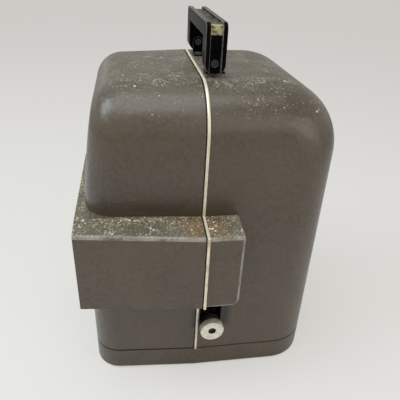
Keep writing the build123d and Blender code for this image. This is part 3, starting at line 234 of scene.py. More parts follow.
def makeSettledDust(settings):
    tree, given, wanted = newGroup(
        "settledDust",
        {"Amount": 1.0, "Grit": 0.5, "Specks": 0.2, "Flakes": 0.05, "Patch": 40.0, "Heap": 0.0},
        ["Film", "Grit", "Dirt", "Specks", "Flakes"],
    )
    texture = addNode(tree, "ShaderNodeTexCoord").outputs
    place, heap = texture["Object"], given["Heap"]
    upward = separate(tree, texture["Normal"])[2]
    facing = ramp(tree, upward, *settings["flat"])
    reach = largest(tree, facing, ramp(tree, upward, *settings["slope"]))

    cloud = noise(tree, place, given["Patch"], *settings["cloud"])
    cloud = ramp(tree, cloud, *settings["cloudLimits"])
    cloud = math(tree, "SUBTRACT", cloud, product(tree, heap, settings["heapThins"]), clamp=True)
    film = product(tree, facing, cloud, given["Amount"])
    connect(tree, math(tree, "MINIMUM", film, 1.0), wanted["Film"])

    clumps = ramp(tree, noise(tree, place, *settings["clumps"]), *settings["clumpLimits"])
    area = ramp(tree, noise(tree, place, *settings["areas"]), *settings["areaLimits"])
    amount = math(tree, "ADD", clumps, product(tree, heap, settings["heapGrit"]))
    amount = math(tree, "MINIMUM", product(tree, amount, area, given["Grit"], reach), 1.0)
    lowered = product(tree, amount, settings["gritReach"])
    level = math(tree, "SUBTRACT", settings["gritLevel"], lowered)
    grain = math(tree, "SUBTRACT", noise(tree, place, *settings["grit"]), level)
    grit = ramp(tree, grain, 0.0, settings["gritSoft"])
    connect(tree, product(tree, grit, reach), wanted["Grit"])

    dirt = ramp(tree, noise(tree, place, *settings["dirt"]), *settings["dirtLimits"])
    connect(tree, product(tree, dirt, reach, given["Grit"]), wanted["Dirt"])

    heaped = product(tree, heap, ramp(tree, clumps, *settings["heapLimits"]))
    clumps = math(tree, "ADD", clumps, heaped)
    wider = ramp(tree, upward, *settings["speckSlope"])
    wider = math(tree, "POWER", wider, settings["speckPower"])
    shift = {"Vector": place, "Scale": settings["raggedScale"]}
    shift = addNode(tree, "ShaderNodeTexNoise", shift).outputs[1]
    shift = vectorMath(tree, "SUBTRACT", shift, (0.5, 0.5, 0.5))
    shift = vectorMath(tree, "MULTIPLY", shift, (settings["ragged"],) * 3)
    ragged = vectorMath(tree, "ADD", place, shift)
    for label, scale, size in settings["scattered"]:
        share = product(tree, clumps, wider, given[label])
        connect(tree, scatter(tree, ragged, scale, share, size), wanted[label])
    return tree


# Slow change of tone over a surface, finer ones between, and a fine grain for its bump
mottleSettings = {
    "broad": (3.0, 0.55),
    "broadLimits": (0.1, 0.9),
    "middle": (2.0, 0.5),
    "middleScale": 0.22,
    "middleLimits": (0.3, 0.7),
    "fine": (2.0, 0.6),
    "fineLimits": (0.2, 0.8),
    "fineHeight": 0.6,
}


def makeMottle(settings):
    tree, given, wanted = newGroup(
        "mottle", {"Patch": 30.0, "Grain": 900.0}, ["Tone", "Middle", "Fine", "Height"]
    )
    place = objectPlace(tree)
    broad = noise(tree, place, given["Patch"], *settings["broad"])
    fine = noise(tree, place, given["Grain"], *settings["fine"])
    middle = product(tree, given["Grain"], settings["middleScale"])
    middle = noise(tree, place, middle, *settings["middle"])
    connect(tree, ramp(tree, broad, *settings["broadLimits"]), wanted["Tone"])
    connect(tree, ramp(tree, middle, *settings["middleLimits"]), wanted["Middle"])
    connect(tree, ramp(tree, fine, *settings["fineLimits"]), wanted["Fine"])
    share = settings["fineHeight"]
    height = math(tree, "ADD", product(tree, fine, share), product(tree, middle, 1 - share))
    connect(tree, height, wanted["Height"])
    return tree


# Where a rounded edge has been rubbed or is painted paler as a highlight, and thin scratches across
# a surface
handlingSettings = {
    "broken": (5.0, 0.7, (1.3, 4.2, 0.6)),
    "brokenLimits": (0.3, 0.6, 0.1, 1.0),
    "lineTurn": (0.4, 0.9, 0.3),
    "lineStretch": (40, 900, 700),
    "lines": (1.0, 2.0, 0.4),
    "lineWidth": 0.012,
    "zones": (22.0, 2.0, 0.5, (7.7, 2.1, 5.3)),
    "zoneLimits": (0.55, 0.75),
}


def makeHandling(settings):
    tree, given, wanted = newGroup(
        "handling", {"Edge": 1.0, "Scratch": 0.3, "Scale": 60.0}, ["Edge", "Scratch"]
    )
    place = objectPlace(tree)
    edge = addNode(tree, "ShaderNodeAttribute", attribute_name="edgeWearAndHighlight").outputs["Fac"]
    broken = noise(tree, place, given["Scale"], *settings["broken"])
    broken = ramp(tree, broken, *settings["brokenLimits"])
    rubbed = math(tree, "MULTIPLY", product(tree, edge, broken), given["Edge"], clamp=True)
    connect(tree, rubbed, wanted["Edge"])

    mapping = {"Vector": place, "Rotation": settings["lineTurn"], "Scale": settings["lineStretch"]}
    stretched = addNode(tree, "ShaderNodeMapping", mapping).outputs[0]
    lines = math(tree, "SUBTRACT", noise(tree, stretched, *settings["lines"]), 0.5)
    thin = ramp(tree, math(tree, "ABSOLUTE", lines), settings["lineWidth"], 0.0)
    zones = ramp(tree, noise(tree, place, *settings["zones"]), *settings["zoneLimits"])
    connect(tree, product(tree, thin, zones, given["Scratch"]), wanted["Scratch"])
    return tree


settledDust = makeSettledDust(dustSettings)
mottle = makeMottle(mottleSettings)
handling = makeHandling(handlingSettings)


def newMaterial(name):
    material = bpy.data.materials.new(name)
    material.use_nodes = True
    tree = material.node_tree
    shader = tree.nodes["Principled BSDF"]
    return material, tree, shader


def bumpFrom(tree, shader, height, distance):
    node = addNode(tree, "ShaderNodeBump", {"Height": height, "Distance": distance})
    connect(tree, node.outputs[0], shader.inputs["Normal"])


# Where dust gathers on the lens box: along the case behind it, beside the trim and at its ends.
# Boxes are centre and half size
heapSettings = {
    "top": ((-0.045, layout["frontY"] - 0.018, 0.182), (0.2, 0.016, 0.011)),
    "side": ((-0.109, 0.0, 0.182), (0.009, 0.2, 0.011)),
    "soft": 0.0005,
    "rootY": layout["frontY"] - 0.0065,
    "trimLimits": (0.026, 0.003),
    "rightLimits": (0.006, 0.019),
    "leftLimits": (-0.099, -0.106),
}


def makeBoxHeap(settings):
    tree, given, wanted = newGroup("boxHeap", {"Width": 0.012}, ["Back", "Trim", "End", "Top"])
    place = objectPlace(tree)
    x, y, z = separate(tree, place)
    boxes = [insideBox(tree, place, *settings[name], settings["soft"]) for name in ("top", "side")]
    top = largest(tree, *boxes)
    ahead = math(tree, "ABSOLUTE", math(tree, "SUBTRACT", settings["rootY"], y))
    beside = math(tree, "ABSOLUTE", math(tree, "SUBTRACT", x, layout["seamX"]))
    right = ramp(tree, x, *settings["rightLimits"])
    left = ramp(tree, x, *settings["leftLimits"])
    found = {
        "Back": ramp(tree, ahead, given["Width"], 0.0),
        "Trim": ramp(tree, beside, *settings["trimLimits"]),
        "End": largest(tree, right, left),
    }
    for label, value in found.items():
        connect(tree, product(tree, top, value), wanted[label])
    connect(tree, top, wanted["Top"])
    return tree


boxHeap = makeBoxHeap(heapSettings)


# Case enamel: satin taupe with a fine texture, dusty wherever it faces up
enamelSettings = {
    "taupe": colour(85, 73, 58),
    "brown": colour(70, 58, 45),
    "grey": colour(98, 89, 75),
    # rubbed edges and scratches, and the painted highlight along the lens box's rounded edges
    "rub": colour(156, 149, 138),
    "pit": colour(40, 35, 30),
    # painted shade, dark along the seam over the base and round the opening above the knob
    "paintedGapShade": colour(22, 19, 16),
    "dust": colour(108, 102, 86),
    "dirt": colour(54, 47, 35),
    # painted shade in the corner above the lens box
    "shade": colour(58, 47, 37),
    "smear": colour(176, 162, 150),
    "grit": colour(182, 172, 146),
    "rust": colour(178, 130, 74),
    "speck": colour(210, 200, 172),
    "straw": colour(188, 170, 122),
    "flake": colour(232, 228, 218),
    "roughness": (0.22, 0.34),
    "dustRoughness": 0.85,
    "grainScale": 1500.0,
    "grainDepth": 0.00012,
    "patch": 22.0,
    "wearAndHighlight": {"Edge": 0.85, "Scratch": 0.35, "Scale": 70.0},
    "dustPatch": 34.0,
    "looseHeight": 2.0,
    # what the heaps on the lens box add, and how far they tint the dust there
    "heapWidth": 0.009,
    "gathered": {"Top": 0.2, "Back": 1.5, "Trim": 0.6, "End": 0.7},
    "tintedByBack": 0.4,
    "soilPale": 0.25,
    "soilRust": 0.4,
    "sandRust": 0.75,
    "straws": (110.0, 1.0, 0.5),
    "strawLimits": (0.42, 0.58),
    "strawShare": 0.6,
    # how strongly each layer covers: on the case, or on the case and on the lens box
    "greyShare": 0.4,
    "brownShare": 0.3,
    "shadeShare": 0.5,
    "pitShare": 0.75,
    "smearShare": 0.5,
    "speckShare": 0.85,
    "filmShares": (0.6, 0.98),
    "dirtShares": (0.85, 0.72),
    "gritShares": (0.75, 0.98),
    "filmDulls": 0.6,
    # marks in one place, and painted shade along the seam over the base, in the nook at the knob
    # and in the corner above the lens box
    "pitting": (30.0, 3.0, 0.6, (9.1, 3.3, 2.4)),
    "pittingLimits": (0.45, 0.75, 0.02, 0.16),
    "pits": (430.0, 0.34),
    "seam": ((0.0, 0.0, layout["baseTop"] + 0.0002), (1.0, 1.0, 0.0007), 0.0005),
    "nookShade": ((layout["tiltX"], -0.072, 0.078), (0.013, 0.006, 0.016), 0.009),
    "nookNoise": (260.0, 3.0, 0.7),
    "nookLimits": (0.25, 0.5, 0.55, 0.95),
    # painted shade: darker on the case front just above the lens box
    "corner": ((-0.045, -0.074, 0.187), (0.045, 0.004, 0.004), 0.034),
    "cornerBottom": 0.186,
    "smears": (48.0, 5.0, 0.75, (5.5, 2.7, 0.3)),
    "smearLimits": (0.6, 0.68),
    "smearHeights": (0.28, 0.288),
}

# Film, grit, specks and flakes on each part of the case
caseDust = {
    "coverEnamel": {"Amount": 0.85, "Grit": 0.8, "Specks": 0.1, "Flakes": 0.03},
    "bodyEnamel": {"Amount": 0.85, "Grit": 0.85, "Specks": 0.1, "Flakes": 0.03},
    "baseEnamel": {"Amount": 0.5, "Grit": 0.4, "Specks": 0.05, "Flakes": 0.0},
}


def caseEnamel(name, settings, dustiness):
    material, tree, shader = newMaterial(name)
    place = objectPlace(tree)
    upright = separate(tree, place)[2]
    tone = useGroup(tree, mottle, Patch=settings["patch"], Grain=settings["grainScale"])
    worn = useGroup(tree, handling, **settings["wearAndHighlight"])
    heap = useGroup(tree, boxHeap, Width=settings["heapWidth"])
    gathered = 0.0
    for label, weight in settings["gathered"].items():
        gathered = math(tree, "ADD", gathered, product(tree, heap[label], weight))
    dust = useGroup(tree, settledDust, **dustiness, Patch=settings["dustPatch"], Heap=gathered)

    # A share on the case and another on the lens box
    def onBox(label):
        return ramp(tree, heap["Top"], 0.0, 1.0, *settings[label])

    # The tints of what lies on the case, rustier beside the trim
    tinted = product(tree, heap["Back"], settings["tintedByBack"])
    tinted = math(tree, "ADD", heap["Trim"], tinted, clamp=True)
    share = product(tree, heap["Top"], settings["soilPale"])
    soil = mixColour(tree, share, settings["dust"], settings["grit"])
    share = product(tree, heap["Trim"], settings["soilRust"])
    soil = mixColour(tree, share, soil, settings["rust"])
    share = product(tree, tinted, settings["sandRust"])
    sand = mixColour(tree, share, settings["grit"], settings["rust"])
    straws = ramp(tree, noise(tree, place, *settings["straws"]), *settings["strawLimits"])
    share = largest(tree, product(tree, straws, settings["strawShare"]), tinted)
    pale = mixColour(tree, share, settings["speck"], settings["straw"])

    # Marks: pits in the enamel and smears, and painted shade along the seam over the base, in the
    # nook at the knob and in the corner above the lens box
    pitScale, pitSize = settings["pits"]
    pitting = ramp(tree, noise(tree, place, *settings["pitting"]), *settings["pittingLimits"])
    pits = scatter(tree, place, pitScale, pitting, pitSize)
    seam = insideBox(tree, place, *settings["seam"])
    blotched = ramp(tree, noise(tree, place, *settings["nookNoise"]), *settings["nookLimits"])
    nookShade = product(tree, insideBox(tree, place, *settings["nookShade"]), blotched)
    above = math(tree, "GREATER_THAN", upright, settings["cornerBottom"])
    corner = product(tree, insideBox(tree, place, *settings["corner"]), above)
    smear = ramp(tree, noise(tree, place, *settings["smears"]), *settings["smearLimits"])
    smear = product(tree, smear, dust["Film"], ramp(tree, upright, *settings["smearHeights"]))

    base = mixColour(tree, tone["Tone"], settings["brown"], settings["taupe"])
    layers = (
        (product(tree, tone["Middle"], settings["greyShare"]), settings["grey"]),
        (product(tree, tone["Fine"], settings["brownShare"]), settings["brown"]),
        # painted shade in the corner above the lens box
        (product(tree, corner, settings["shadeShare"]), settings["shade"]),
        (product(tree, pits, settings["pitShare"]), settings["pit"]),
        # rubbed edges, and the painted highlight along the lens box's rounded edges
        (worn["Edge"], settings["rub"]),
        (worn["Scratch"], settings["rub"]),
        (product(tree, dust["Film"], onBox("filmShares")), soil),
        (product(tree, smear, settings["smearShare"]), settings["smear"]),
        (product(tree, dust["Dirt"], onBox("dirtShares")), settings["dirt"]),
        (product(tree, dust["Grit"], onBox("gritShares")), sand),
        (product(tree, dust["Specks"], settings["speckShare"]), pale),
        (dust["Flakes"], settings["flake"]),
        # painted shade along the seam over the base and in the nook at the knob
        (largest(tree, seam, nookShade), settings["paintedGapShade"]),
    )
    for share, tint in layers:
        base = mixColour(tree, share, base, tint)
    connect(tree, base, shader.inputs["Base Color"])

    loose = largest(tree, dust["Grit"], dust["Specks"], dust["Flakes"])
    dull = largest(tree, product(tree, dust["Film"], settings["filmDulls"]), loose, seam)
    smooth = ramp(tree, tone["Tone"], 0.0, 1.0, *settings["roughness"])
    rough = mixValue(tree, dull, smooth, settings["dustRoughness"])
    connect(tree, rough, shader.inputs["Roughness"])
    relief = math(tree, "ADD", tone["Height"], product(tree, loose, settings["looseHeight"]))
    bumpFrom(tree, shader, math(tree, "SUBTRACT", relief, pits), settings["grainDepth"])
    return material


# The finish of everything but case and glass: two tones and the colour where it is rubbed, on
# the grip also a painted highlight, in parts of 255. Patch and grain are the scales of its
# mottling, depth that of its bump in metres.
# Stains and patches of painted shade lie in boxes and are broken up by a noise
finishes = {
    "trimMetal": {
        "tones": (colour(198, 183, 152), colour(238, 227, 203)),
        "rub": colour(244, 238, 222),
        "metallic": 0.35, "roughness": (0.26, 0.45),
        "patch": 120.0, "grain": 1400.0, "depth": 0.00004,
        "dust": 0.2, "edge": 0.5,
        "stainsAndShade": [
            {
                "tint": colour(186, 156, 108), "scale": 70.0, "limits": (0.52, 0.7),
                "centre": (0.0, -0.09, 0.15), "half": (1.0, 0.03, 0.07), "soft": 0.03,
            },
        ],
    },
    "gripBlack": {
        "tones": (colour(7, 7, 8), colour(13, 12, 12)),
        # rubbed edges painted near white: wear, and a painted highlight along the rib edges
        "rub": colour(176, 174, 170),
        "metallic": 0.0, "roughness": (0.1, 0.22),
        "patch": 60.0, "grain": 1600.0, "depth": 0.00002,
        "dust": 0.06, "edge": 0.5, "specular": 0.012,
        "stainsAndShade": [
            {
                "tint": colour(104, 100, 84), "scale": 130.0, "limits": (0.35, 0.65),
                "centre": (layout["handleX"], 0.009, 0.3268), "half": (0.0044, 0.053, 0.0012),
                "soft": 0.0008,
            },
            {
                "tint": colour(178, 168, 130), "scale": 260.0, "limits": (0.3, 0.55),
                "centre": (layout["handleX"], -0.0385, 0.3255), "half": (0.0042, 0.0056, 0.0046),
                "soft": 0.0006,
            },
        ],
    },
    "knobMetal": {
        "tones": (colour(216, 205, 187), colour(245, 238, 223)),
        "rub": colour(246, 242, 233),
        "metallic": 0.2, "roughness": (0.3, 0.5),
        "patch": 260.0, "grain": 2200.0, "depth": 0.00005,
        "dust": 0.2, "edge": 0.7,
        "stainsAndShade": [
            {
                "tint": colour(126, 116, 98), "scale": 420.0, "limits": (0.56, 0.66),
                "centre": (0.0, -0.08, 0.06), "half": (1.0, 0.01, 0.02), "soft": 0.01,
            },
            # painted shade: the inside of the centre hole darkened
            {
                "tint": colour(30, 26, 21), "scale": 50.0, "limits": (-0.2, 0.1),
                "centre": (layout["tiltX"], -0.0788, layout["tiltZ"]),
                "half": (0.004, 0.0011, 0.004), "soft": 0.0002,
            },
        ],
    },
    "blackSteel": {
        "tones": (colour(28, 28, 29), colour(44, 43, 42)),
        "rub": colour(120, 116, 110),
        "metallic": 0.35, "roughness": (0.34, 0.55),
        "patch": 60.0, "grain": 1500.0, "depth": 0.00004,
        "dust": 0.3, "edge": 0.6,
    },
    "brightSteel": {
        "tones": (colour(150, 150, 148), colour(192, 191, 187)),
        "rub": colour(222, 221, 217),
        "metallic": 1.0, "roughness": (0.2, 0.38),
        "patch": 90.0, "grain": 2400.0, "depth": 0.00002,
        "dust": 0.15, "edge": 0.4,
    },
    "bronze": {
        "tones": (colour(140, 102, 58), colour(184, 142, 86)),
        "rub": colour(222, 190, 130),
        "metallic": 1.0, "roughness": (0.28, 0.46),
        "patch": 110.0, "grain": 1800.0, "depth": 0.00004,
        "dust": 0.15, "edge": 0.5,
    },
    "plateEnamel": {
        "tones": (colour(118, 118, 112), colour(142, 142, 135)),
        "rub": colour(186, 184, 178),
        "metallic": 0.2, "roughness": (0.38, 0.56),
        "patch": 40.0, "grain": 1600.0, "depth": 0.00006,
        "dust": 0.2, "edge": 0.5,
    },
    "lampSheet": {
        "tones": (colour(132, 130, 126), colour(168, 166, 160)),
        "rub": colour(208, 206, 200),
        "metallic": 0.9, "roughness": (0.3, 0.5),
        "patch": 45.0, "grain": 1300.0, "depth": 0.00004,
        "dust": 0.3, "edge": 0.5,
    },
    "footRubber": {
        "tones": (colour(24, 24, 24), colour(40, 39, 38)),
        "rub": colour(78, 76, 73),
        "metallic": 0.0, "roughness": (0.6, 0.85),
        "patch": 90.0, "grain": 900.0, "depth": 0.0001,
        "dust": 0.4, "edge": 0.5,
    },
    "beltRubber": {
        "tones": (colour(30, 27, 24), colour(46, 41, 36)),
        "rub": colour(80, 74, 66),
        "metallic": 0.0, "roughness": (0.5, 0.75),
        "patch": 120.0, "grain": 1200.0, "depth": 0.00006,
        "dust": 0.3, "edge": 0.3,
    },
    "mirrorCoat": {
        "tones": (colour(206, 206, 204), colour(232, 232, 230)),
        "rub": colour(240, 240, 238),
        "metallic": 1.0, "roughness": (0.03, 0.1),
        "patch": 60.0, "grain": 1800.0, "depth": 0.00001,
        "dust": 0.1, "edge": 0.2,
    },
    "ceramic": {
        "tones": (colour(176, 168, 146), colour(206, 198, 178)),
        "rub": colour(222, 216, 200),
        "metallic": 0.0, "roughness": (0.45, 0.7),
        "patch": 80.0, "grain": 1100.0, "depth": 0.00006,
        "dust": 0.3, "edge": 0.4,
    },
    "phenolic": {
        "tones": (colour(36, 24, 17), colour(58, 38, 26)),
        "rub": colour(104, 78, 58),
        "metallic": 0.0, "roughness": (0.25, 0.42),
        "patch": 70.0, "grain": 1500.0, "depth": 0.00003,
        "dust": 0.2, "edge": 0.4,
    },
    "gearFibre": {
        "tones": (colour(120, 82, 46), colour(156, 112, 66)),
        "rub": colour(188, 150, 100),
        "metallic": 0.0, "roughness": (0.5, 0.7),
        "patch": 130.0, "grain": 1000.0, "depth": 0.00006,
        "dust": 0.1, "edge": 0.4,
    },
    "motorEnamel": {
        "tones": (colour(48, 50, 52), colour(68, 70, 71)),
        "rub": colour(130, 128, 122),
        "metallic": 0.1, "roughness": (0.32, 0.5),
        "patch": 50.0, "grain": 1300.0, "depth": 0.00008,
        "dust": 0.4, "edge": 0.5,
    },
}


# What all finishes share: their scratches, their dust and how stains and painted shade are broken
# up
finishShared = {
    "dust": colour(150, 136, 112),
    "speck": colour(198, 184, 150),
    "dustPatch": 70.0,
    "grit": 0.6,
    "specks": 0.25,
    "film": 0.6,
    "scratch": 0.4,
    "scratchScale": 140.0,
    "stainAndShade": (4.0, 0.65, (4.4, 1.2, 8.3)),
    "toneInRoughness": 0.6,
    "dustRoughness": 0.85,
}


def finishMaterial(name, settings, shared):
    material, tree, shader = newMaterial(name)
    place = objectPlace(tree)
    tone = useGroup(tree, mottle, Patch=settings["patch"], Grain=settings["grain"])
    worn = useGroup(
        tree, handling, Edge=settings["edge"],
        Scratch=shared["scratch"], Scale=shared["scratchScale"],
    )
    amount = settings["dust"]
    dust = useGroup(
        tree, settledDust, Amount=amount, Grit=shared["grit"] * amount,
        Specks=shared["specks"] * amount, Flakes=0.0, Patch=shared["dustPatch"],
    )
    base = mixColour(tree, tone["Tone"], *settings["tones"])
    base = mixColour(tree, worn["Edge"], base, settings["rub"])
    base = mixColour(tree, worn["Scratch"], base, settings["rub"])
    if "specular" in settings:
        shader.inputs["Specular IOR Level"].default_value = settings["specular"]
    stainedAndShaded = 0.0
    for stainAndShade in settings.get("stainsAndShade", ()):
        broken = ramp(tree, noise(tree, place, stainAndShade["scale"], *shared["stainAndShade"]), *stainAndShade["limits"])
        inside = insideBox(tree, place, stainAndShade["centre"], stainAndShade["half"], stainAndShade["soft"])
        share = product(tree, inside, broken)
        base = mixColour(tree, share, base, stainAndShade["tint"])
        stainedAndShaded = largest(tree, stainedAndShaded, share)
    dusty = product(tree, dust["Film"], shared["film"])
    base = mixColour(tree, dusty, base, shared["dust"])
    base = mixColour(tree, dust["Specks"], base, shared["speck"])
    connect(tree, base, shader.inputs["Base Color"])
    cover = largest(tree, dusty, dust["Specks"], stainedAndShaded)
    toned = product(tree, tone["Tone"], shared["toneInRoughness"])
    finely = product(tree, tone["Fine"], 1 - shared["toneInRoughness"])
    smooth = ramp(tree, math(tree, "ADD", toned, finely), 0, 1, *settings["roughness"])
    rough = mixValue(tree, cover, smooth, shared["dustRoughness"])
    connect(tree, rough, shader.inputs["Roughness"])
    if settings["metallic"]:
        metal = mixValue(tree, cover, settings["metallic"], 0.0)
        connect(tree, metal, shader.inputs["Metallic"])
    relief = math(tree, "ADD", tone["Height"], dust["Specks"])
    bumpFrom(tree, shader, relief, settings["depth"])
    return material


materials = {name: finishMaterial(name, found, finishShared) for name, found in finishes.items()}
for name, dustiness in caseDust.items():
    materials[name] = caseEnamel(name, enamelSettings, dustiness)


glassSettings = {
    "ior": 1.5,
    "tint": (0.9, 0.95, 0.97, 1),
    "haze": (0.97, 0.98, 0.98, 1),
    "patch": 60.0,
    "grain": 700.0,
    "roughness": (0.01, 0.06),
}


def clearGlass(name, settings):
    material, tree, shader = newMaterial(name)
    shader.inputs["Transmission Weight"].default_value = 1.0
    shader.inputs["IOR"].default_value = settings["ior"]
    tone = useGroup(tree, mottle, Patch=settings["patch"], Grain=settings["grain"])
    base = mixColour(tree, tone["Tone"], settings["tint"], settings["haze"])
    connect(tree, base, shader.inputs["Base Color"])
    rough = ramp(tree, tone["Fine"], 0, 1, *settings["roughness"])
    connect(tree, rough, shader.inputs["Roughness"])
    return material


materials["glass"] = clearGlass("glass", glassSettings)
print("finishes made")


# Points closer than the first are one, faces within the second angle are flat together, and an
# edge sharper than the third is rounded, or else shaded sharp
roundSettings = {"merge": 2e-6, "flat": radians(0.4), "sharp": radians(32), "segments": 2}


def shadePiece(pieceName, shape, sharp):
    mesh = bpy.data.meshes.new(pieceName)
    shape.to_mesh(mesh)
    shape.free()
    for name in [a.name for a in mesh.attributes if a.name in ("custom_normal", "sharp_face")]:
        mesh.attributes.remove(mesh.attributes[name])
    mesh.shade_smooth()
    mesh.set_sharp_from_angle(angle=sharp)
    piece = bpy.data.objects.new(pieceName, mesh)
    scene.collection.objects.link(piece)
    return piece


# A node's mesh, merged, its flat faces joined and its sharp edges rounded, ready for a finish.
# keep says which edges are rounded, worn how much a face has been rubbed or is painted paler as a
# highlight
def roundedCopy(nodeName, width, settings, keep=None, worn=None):
    source = frame["nodes"][nodeName]
    shape = bmesh.new()
    shape.from_mesh(source.data)
    bmesh.ops.remove_doubles(shape, verts=shape.verts, dist=settings["merge"])
    bmesh.ops.dissolve_limit(
        shape, angle_limit=settings["flat"], use_dissolve_boundaries=False,
        verts=shape.verts, edges=shape.edges, delimit=set(),
    )
    wearAndHighlight = shape.faces.layers.float.new("edgeWearAndHighlight")
    if width:
        edges = [
            e for e in shape.edges
            if e.is_manifold and e.calc_face_angle(0) > settings["sharp"]
            and (keep is None or keep(e))
        ]
        made = bmesh.ops.bevel(
            shape, geom=edges, offset=width, offset_type="OFFSET", segments=settings["segments"],
            profile=0.5, affect="EDGES", clamp_overlap=True, material=-1,
        )
        for face in made["faces"]:
            face[wearAndHighlight] = 1.0
    if worn:
        for face in shape.faces:
            face[wearAndHighlight] = max(face[wearAndHighlight], worn(face))
    piece = shadePiece(nodeName + "_dressed", shape, settings["sharp"])
    normals = piece.modifiers.new("normals", "WEIGHTED_NORMAL")
    normals.keep_sharp = True
    return piece


record = frame["record"]
bodyOf = {name: body for body, names in record["behaviour"]["bodies"].items() for name in names}


def settle(piece, material, node):
    piece.data.materials.clear()
    piece.data.materials.append(material)
    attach(piece, bodyOf[node])
    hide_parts(node)


# Every node: its finish and how far its edges are rounded, in metres
dressing = {
    "cover_shell": ("coverEnamel", 0.0008),
    "body_shell": ("bodyEnamel", 0.0008),
    "base_pan": ("baseEnamel", 0.0008),
    "bottom_plate": ("plateEnamel", 0.0003),
    "rubber_feet": ("footRubber", 0.0006),
    "trim_bead": ("trimMetal", 0.0009),
    "mechanism_plate": ("plateEnamel", 0.0004),
    "plate_screws": ("brightSteel", 0.0002),
    "bearing_bushes": ("bronze", 0.0002),
    "handle_brackets": ("gripBlack", 0.0003),
    "handle_pins": ("blackSteel", 0.0002),
    "bracket_screws": ("blackSteel", 0.0002),
    "tilt_bushing": ("blackSteel", 0.0003),
    "aperture_plate": ("brightSteel", 0.0002),
    "guide_rods": ("brightSteel", 0.0003),
    "film_shoes": ("blackSteel", 0.0003),
    "lamphouse": ("lampSheet", 0.0003),
    "lamphouse_cap": ("blackSteel", 0.0003),
    "lamp_socket": ("phenolic", 0.0003),
    "lamp_collar": ("bronze", 0.0003),
    "lamp_bulb": ("glass", 0.0),
    "reflector": ("mirrorCoat", 0.0002),
    "condenser_tube": ("blackSteel", 0.0003),
    "condenser_glasses": ("glass", 0.0),
    "motor_housing": ("motorEnamel", 0.0004),
    "motor_cradle": ("blackSteel", 0.0003),
    "fan_shroud": ("lampSheet", 0.0003),
    "drive_belt": ("beltRubber", 0.0006),
    "speed_resistor": ("ceramic", 0.0003),
    "power_inlet": ("phenolic", 0.0004),
    "inlet_pins": ("bronze", 0.0),
    "handle_grip": ("gripBlack", 0.0007),
    "tilt_knob": ("knobMetal", 0.0001),
    "tilt_shaft": ("blackSteel", 0.0001),
    "tilt_rack": ("brightSteel", 0.0002),
    "tilt_foot": ("footRubber", 0.0004),
    "lens_carriage": ("blackSteel", 0.0004),
    "pressure_plate": ("brightSteel", 0.0002),
    "lens_barrel": ("blackSteel", 0.0001),
    "lens_glasses": ("glass", 0.0),
    "motor_shaft": ("brightSteel", 0.0003),
    "motor_pulley": ("bronze", 0.0003),
    "fan_wheel": ("lampSheet", 0.0001),
    "main_shaft": ("brightSteel", 0.0003),
    "main_gear": ("gearFibre", 0.0001),
    "main_pulley": ("knobMetal", 0.0003),
    "shutter_drum": ("blackSteel", 0.0002),
    "shutter_shaft": ("brightSteel", 0.0002),
    "shutter_gear": ("bronze", 0.0001),
    "upper_sprocket": ("brightSteel", 0.0001),
    "upper_gear": ("gearFibre", 0.0001),
    "lower_sprocket": ("brightSteel", 0.0001),
    "lower_gear": ("gearFibre", 0.0001),
    "supply_arm": ("blackSteel", 0.0004),
    "supply_spindle": ("brightSteel", 0.0002),
    "take_up_arm": ("blackSteel", 0.0004),
    "take_up_spindle": ("brightSteel", 0.0002),
    "speed_knob": ("phenolic", 0.0004),
    "switch_lever": ("phenolic", 0.0005),
}


# Only the two outer edges of the bead are rounded, so that it reads as half-round
beadSettings = {
    "middle": (layout["seamX"], 0.0136, 0.15),
    "flank": 0.9,
    "outer": 0.1,
    "segments": 3,
}


def beadRim(edge):
    outer = False
    flank = False
    for face in edge.link_faces:
        arm = face.calc_center_median() - Vector(beadSettings["middle"])
        across = abs(face.normal.x)
        flank = flank or across > beadSettings["flank"]
        outer = outer or (across < beadSettings["outer"] and face.normal.dot(arm) > 0)
    return outer and flank


# The rounded edges of the lens box, which stand out in front of the case: rubbed paler, and painted
# paler still as a highlight along them
boxEdgeSettings = {"ahead": 0.0095, "flat": 0.985}


def boxEdgeWearAndHighlight(face):
    ahead = face.calc_center_median().y < layout["frontY"] - boxEdgeSettings["ahead"]
    curved = max(abs(v) for v in face.normal) < boxEdgeSettings["flat"]
    return 1.0 if ahead and curved else 0.0


# The tilt knob: turned, finely knurled round its rim, with a dished face and a deep centre hole
knobSettings = {
    "front": -0.0806, "back": -0.0744, "radius": 0.0114, "chamfer": 0.0006,
    "hole": 0.0036, "holeDepth": 0.0022, "holeFloor": 0.0004, "holeEdge": 0.0003, "bore": 0.0027,
    "lip": 0.0011, "dish": 0.0003,
    "teeth": 46, "toothDepth": 0.0007, "sharp": radians(35),
}


def makeKnob(settings):
    front, back, radius = settings["front"], settings["back"], settings["radius"]
    lip, hole, chamfer = settings["lip"], settings["hole"], settings["chamfer"]
    edge, floor, bore = settings["holeEdge"], settings["holeFloor"], settings["bore"]
    face, deep = front + settings["dish"], front + settings["holeDepth"]
    outline = [
        (hole - floor, deep), (hole, deep - floor / 2), (hole, face + edge), (hole + edge, face),
        (radius - lip - chamfer, face), (radius - lip, front),
        (radius - chamfer, front), (radius, front + chamfer),
        (radius, back - chamfer), (radius - chamfer, back), (bore, back), (bore, deep),
    ]
    # Ring by ring, so that the faces come in the same order each run
    shape = bmesh.new()
    steps = 2 * settings["teeth"]
    rings = []
    for step in range(steps):
        angle = 2 * pi * step / steps
        ring = []
        for reach, y in outline:
            if reach == radius and step % 2:
                reach -= settings["toothDepth"]
            x = layout["tiltX"] + reach * cos(angle)
            z = layout["tiltZ"] - reach * sin(angle)
            ring.append(shape.verts.new((x, y, z)))
        rings.append(ring)
    for here, ahead in zip(rings, rings[1:] + rings[:1]):
        for number in range(len(outline)):
            before = number - 1
            shape.faces.new((here[before], ahead[before], ahead[number], here[number]))
    return shadePiece("tilt_knob_turned", shape, settings["sharp"])


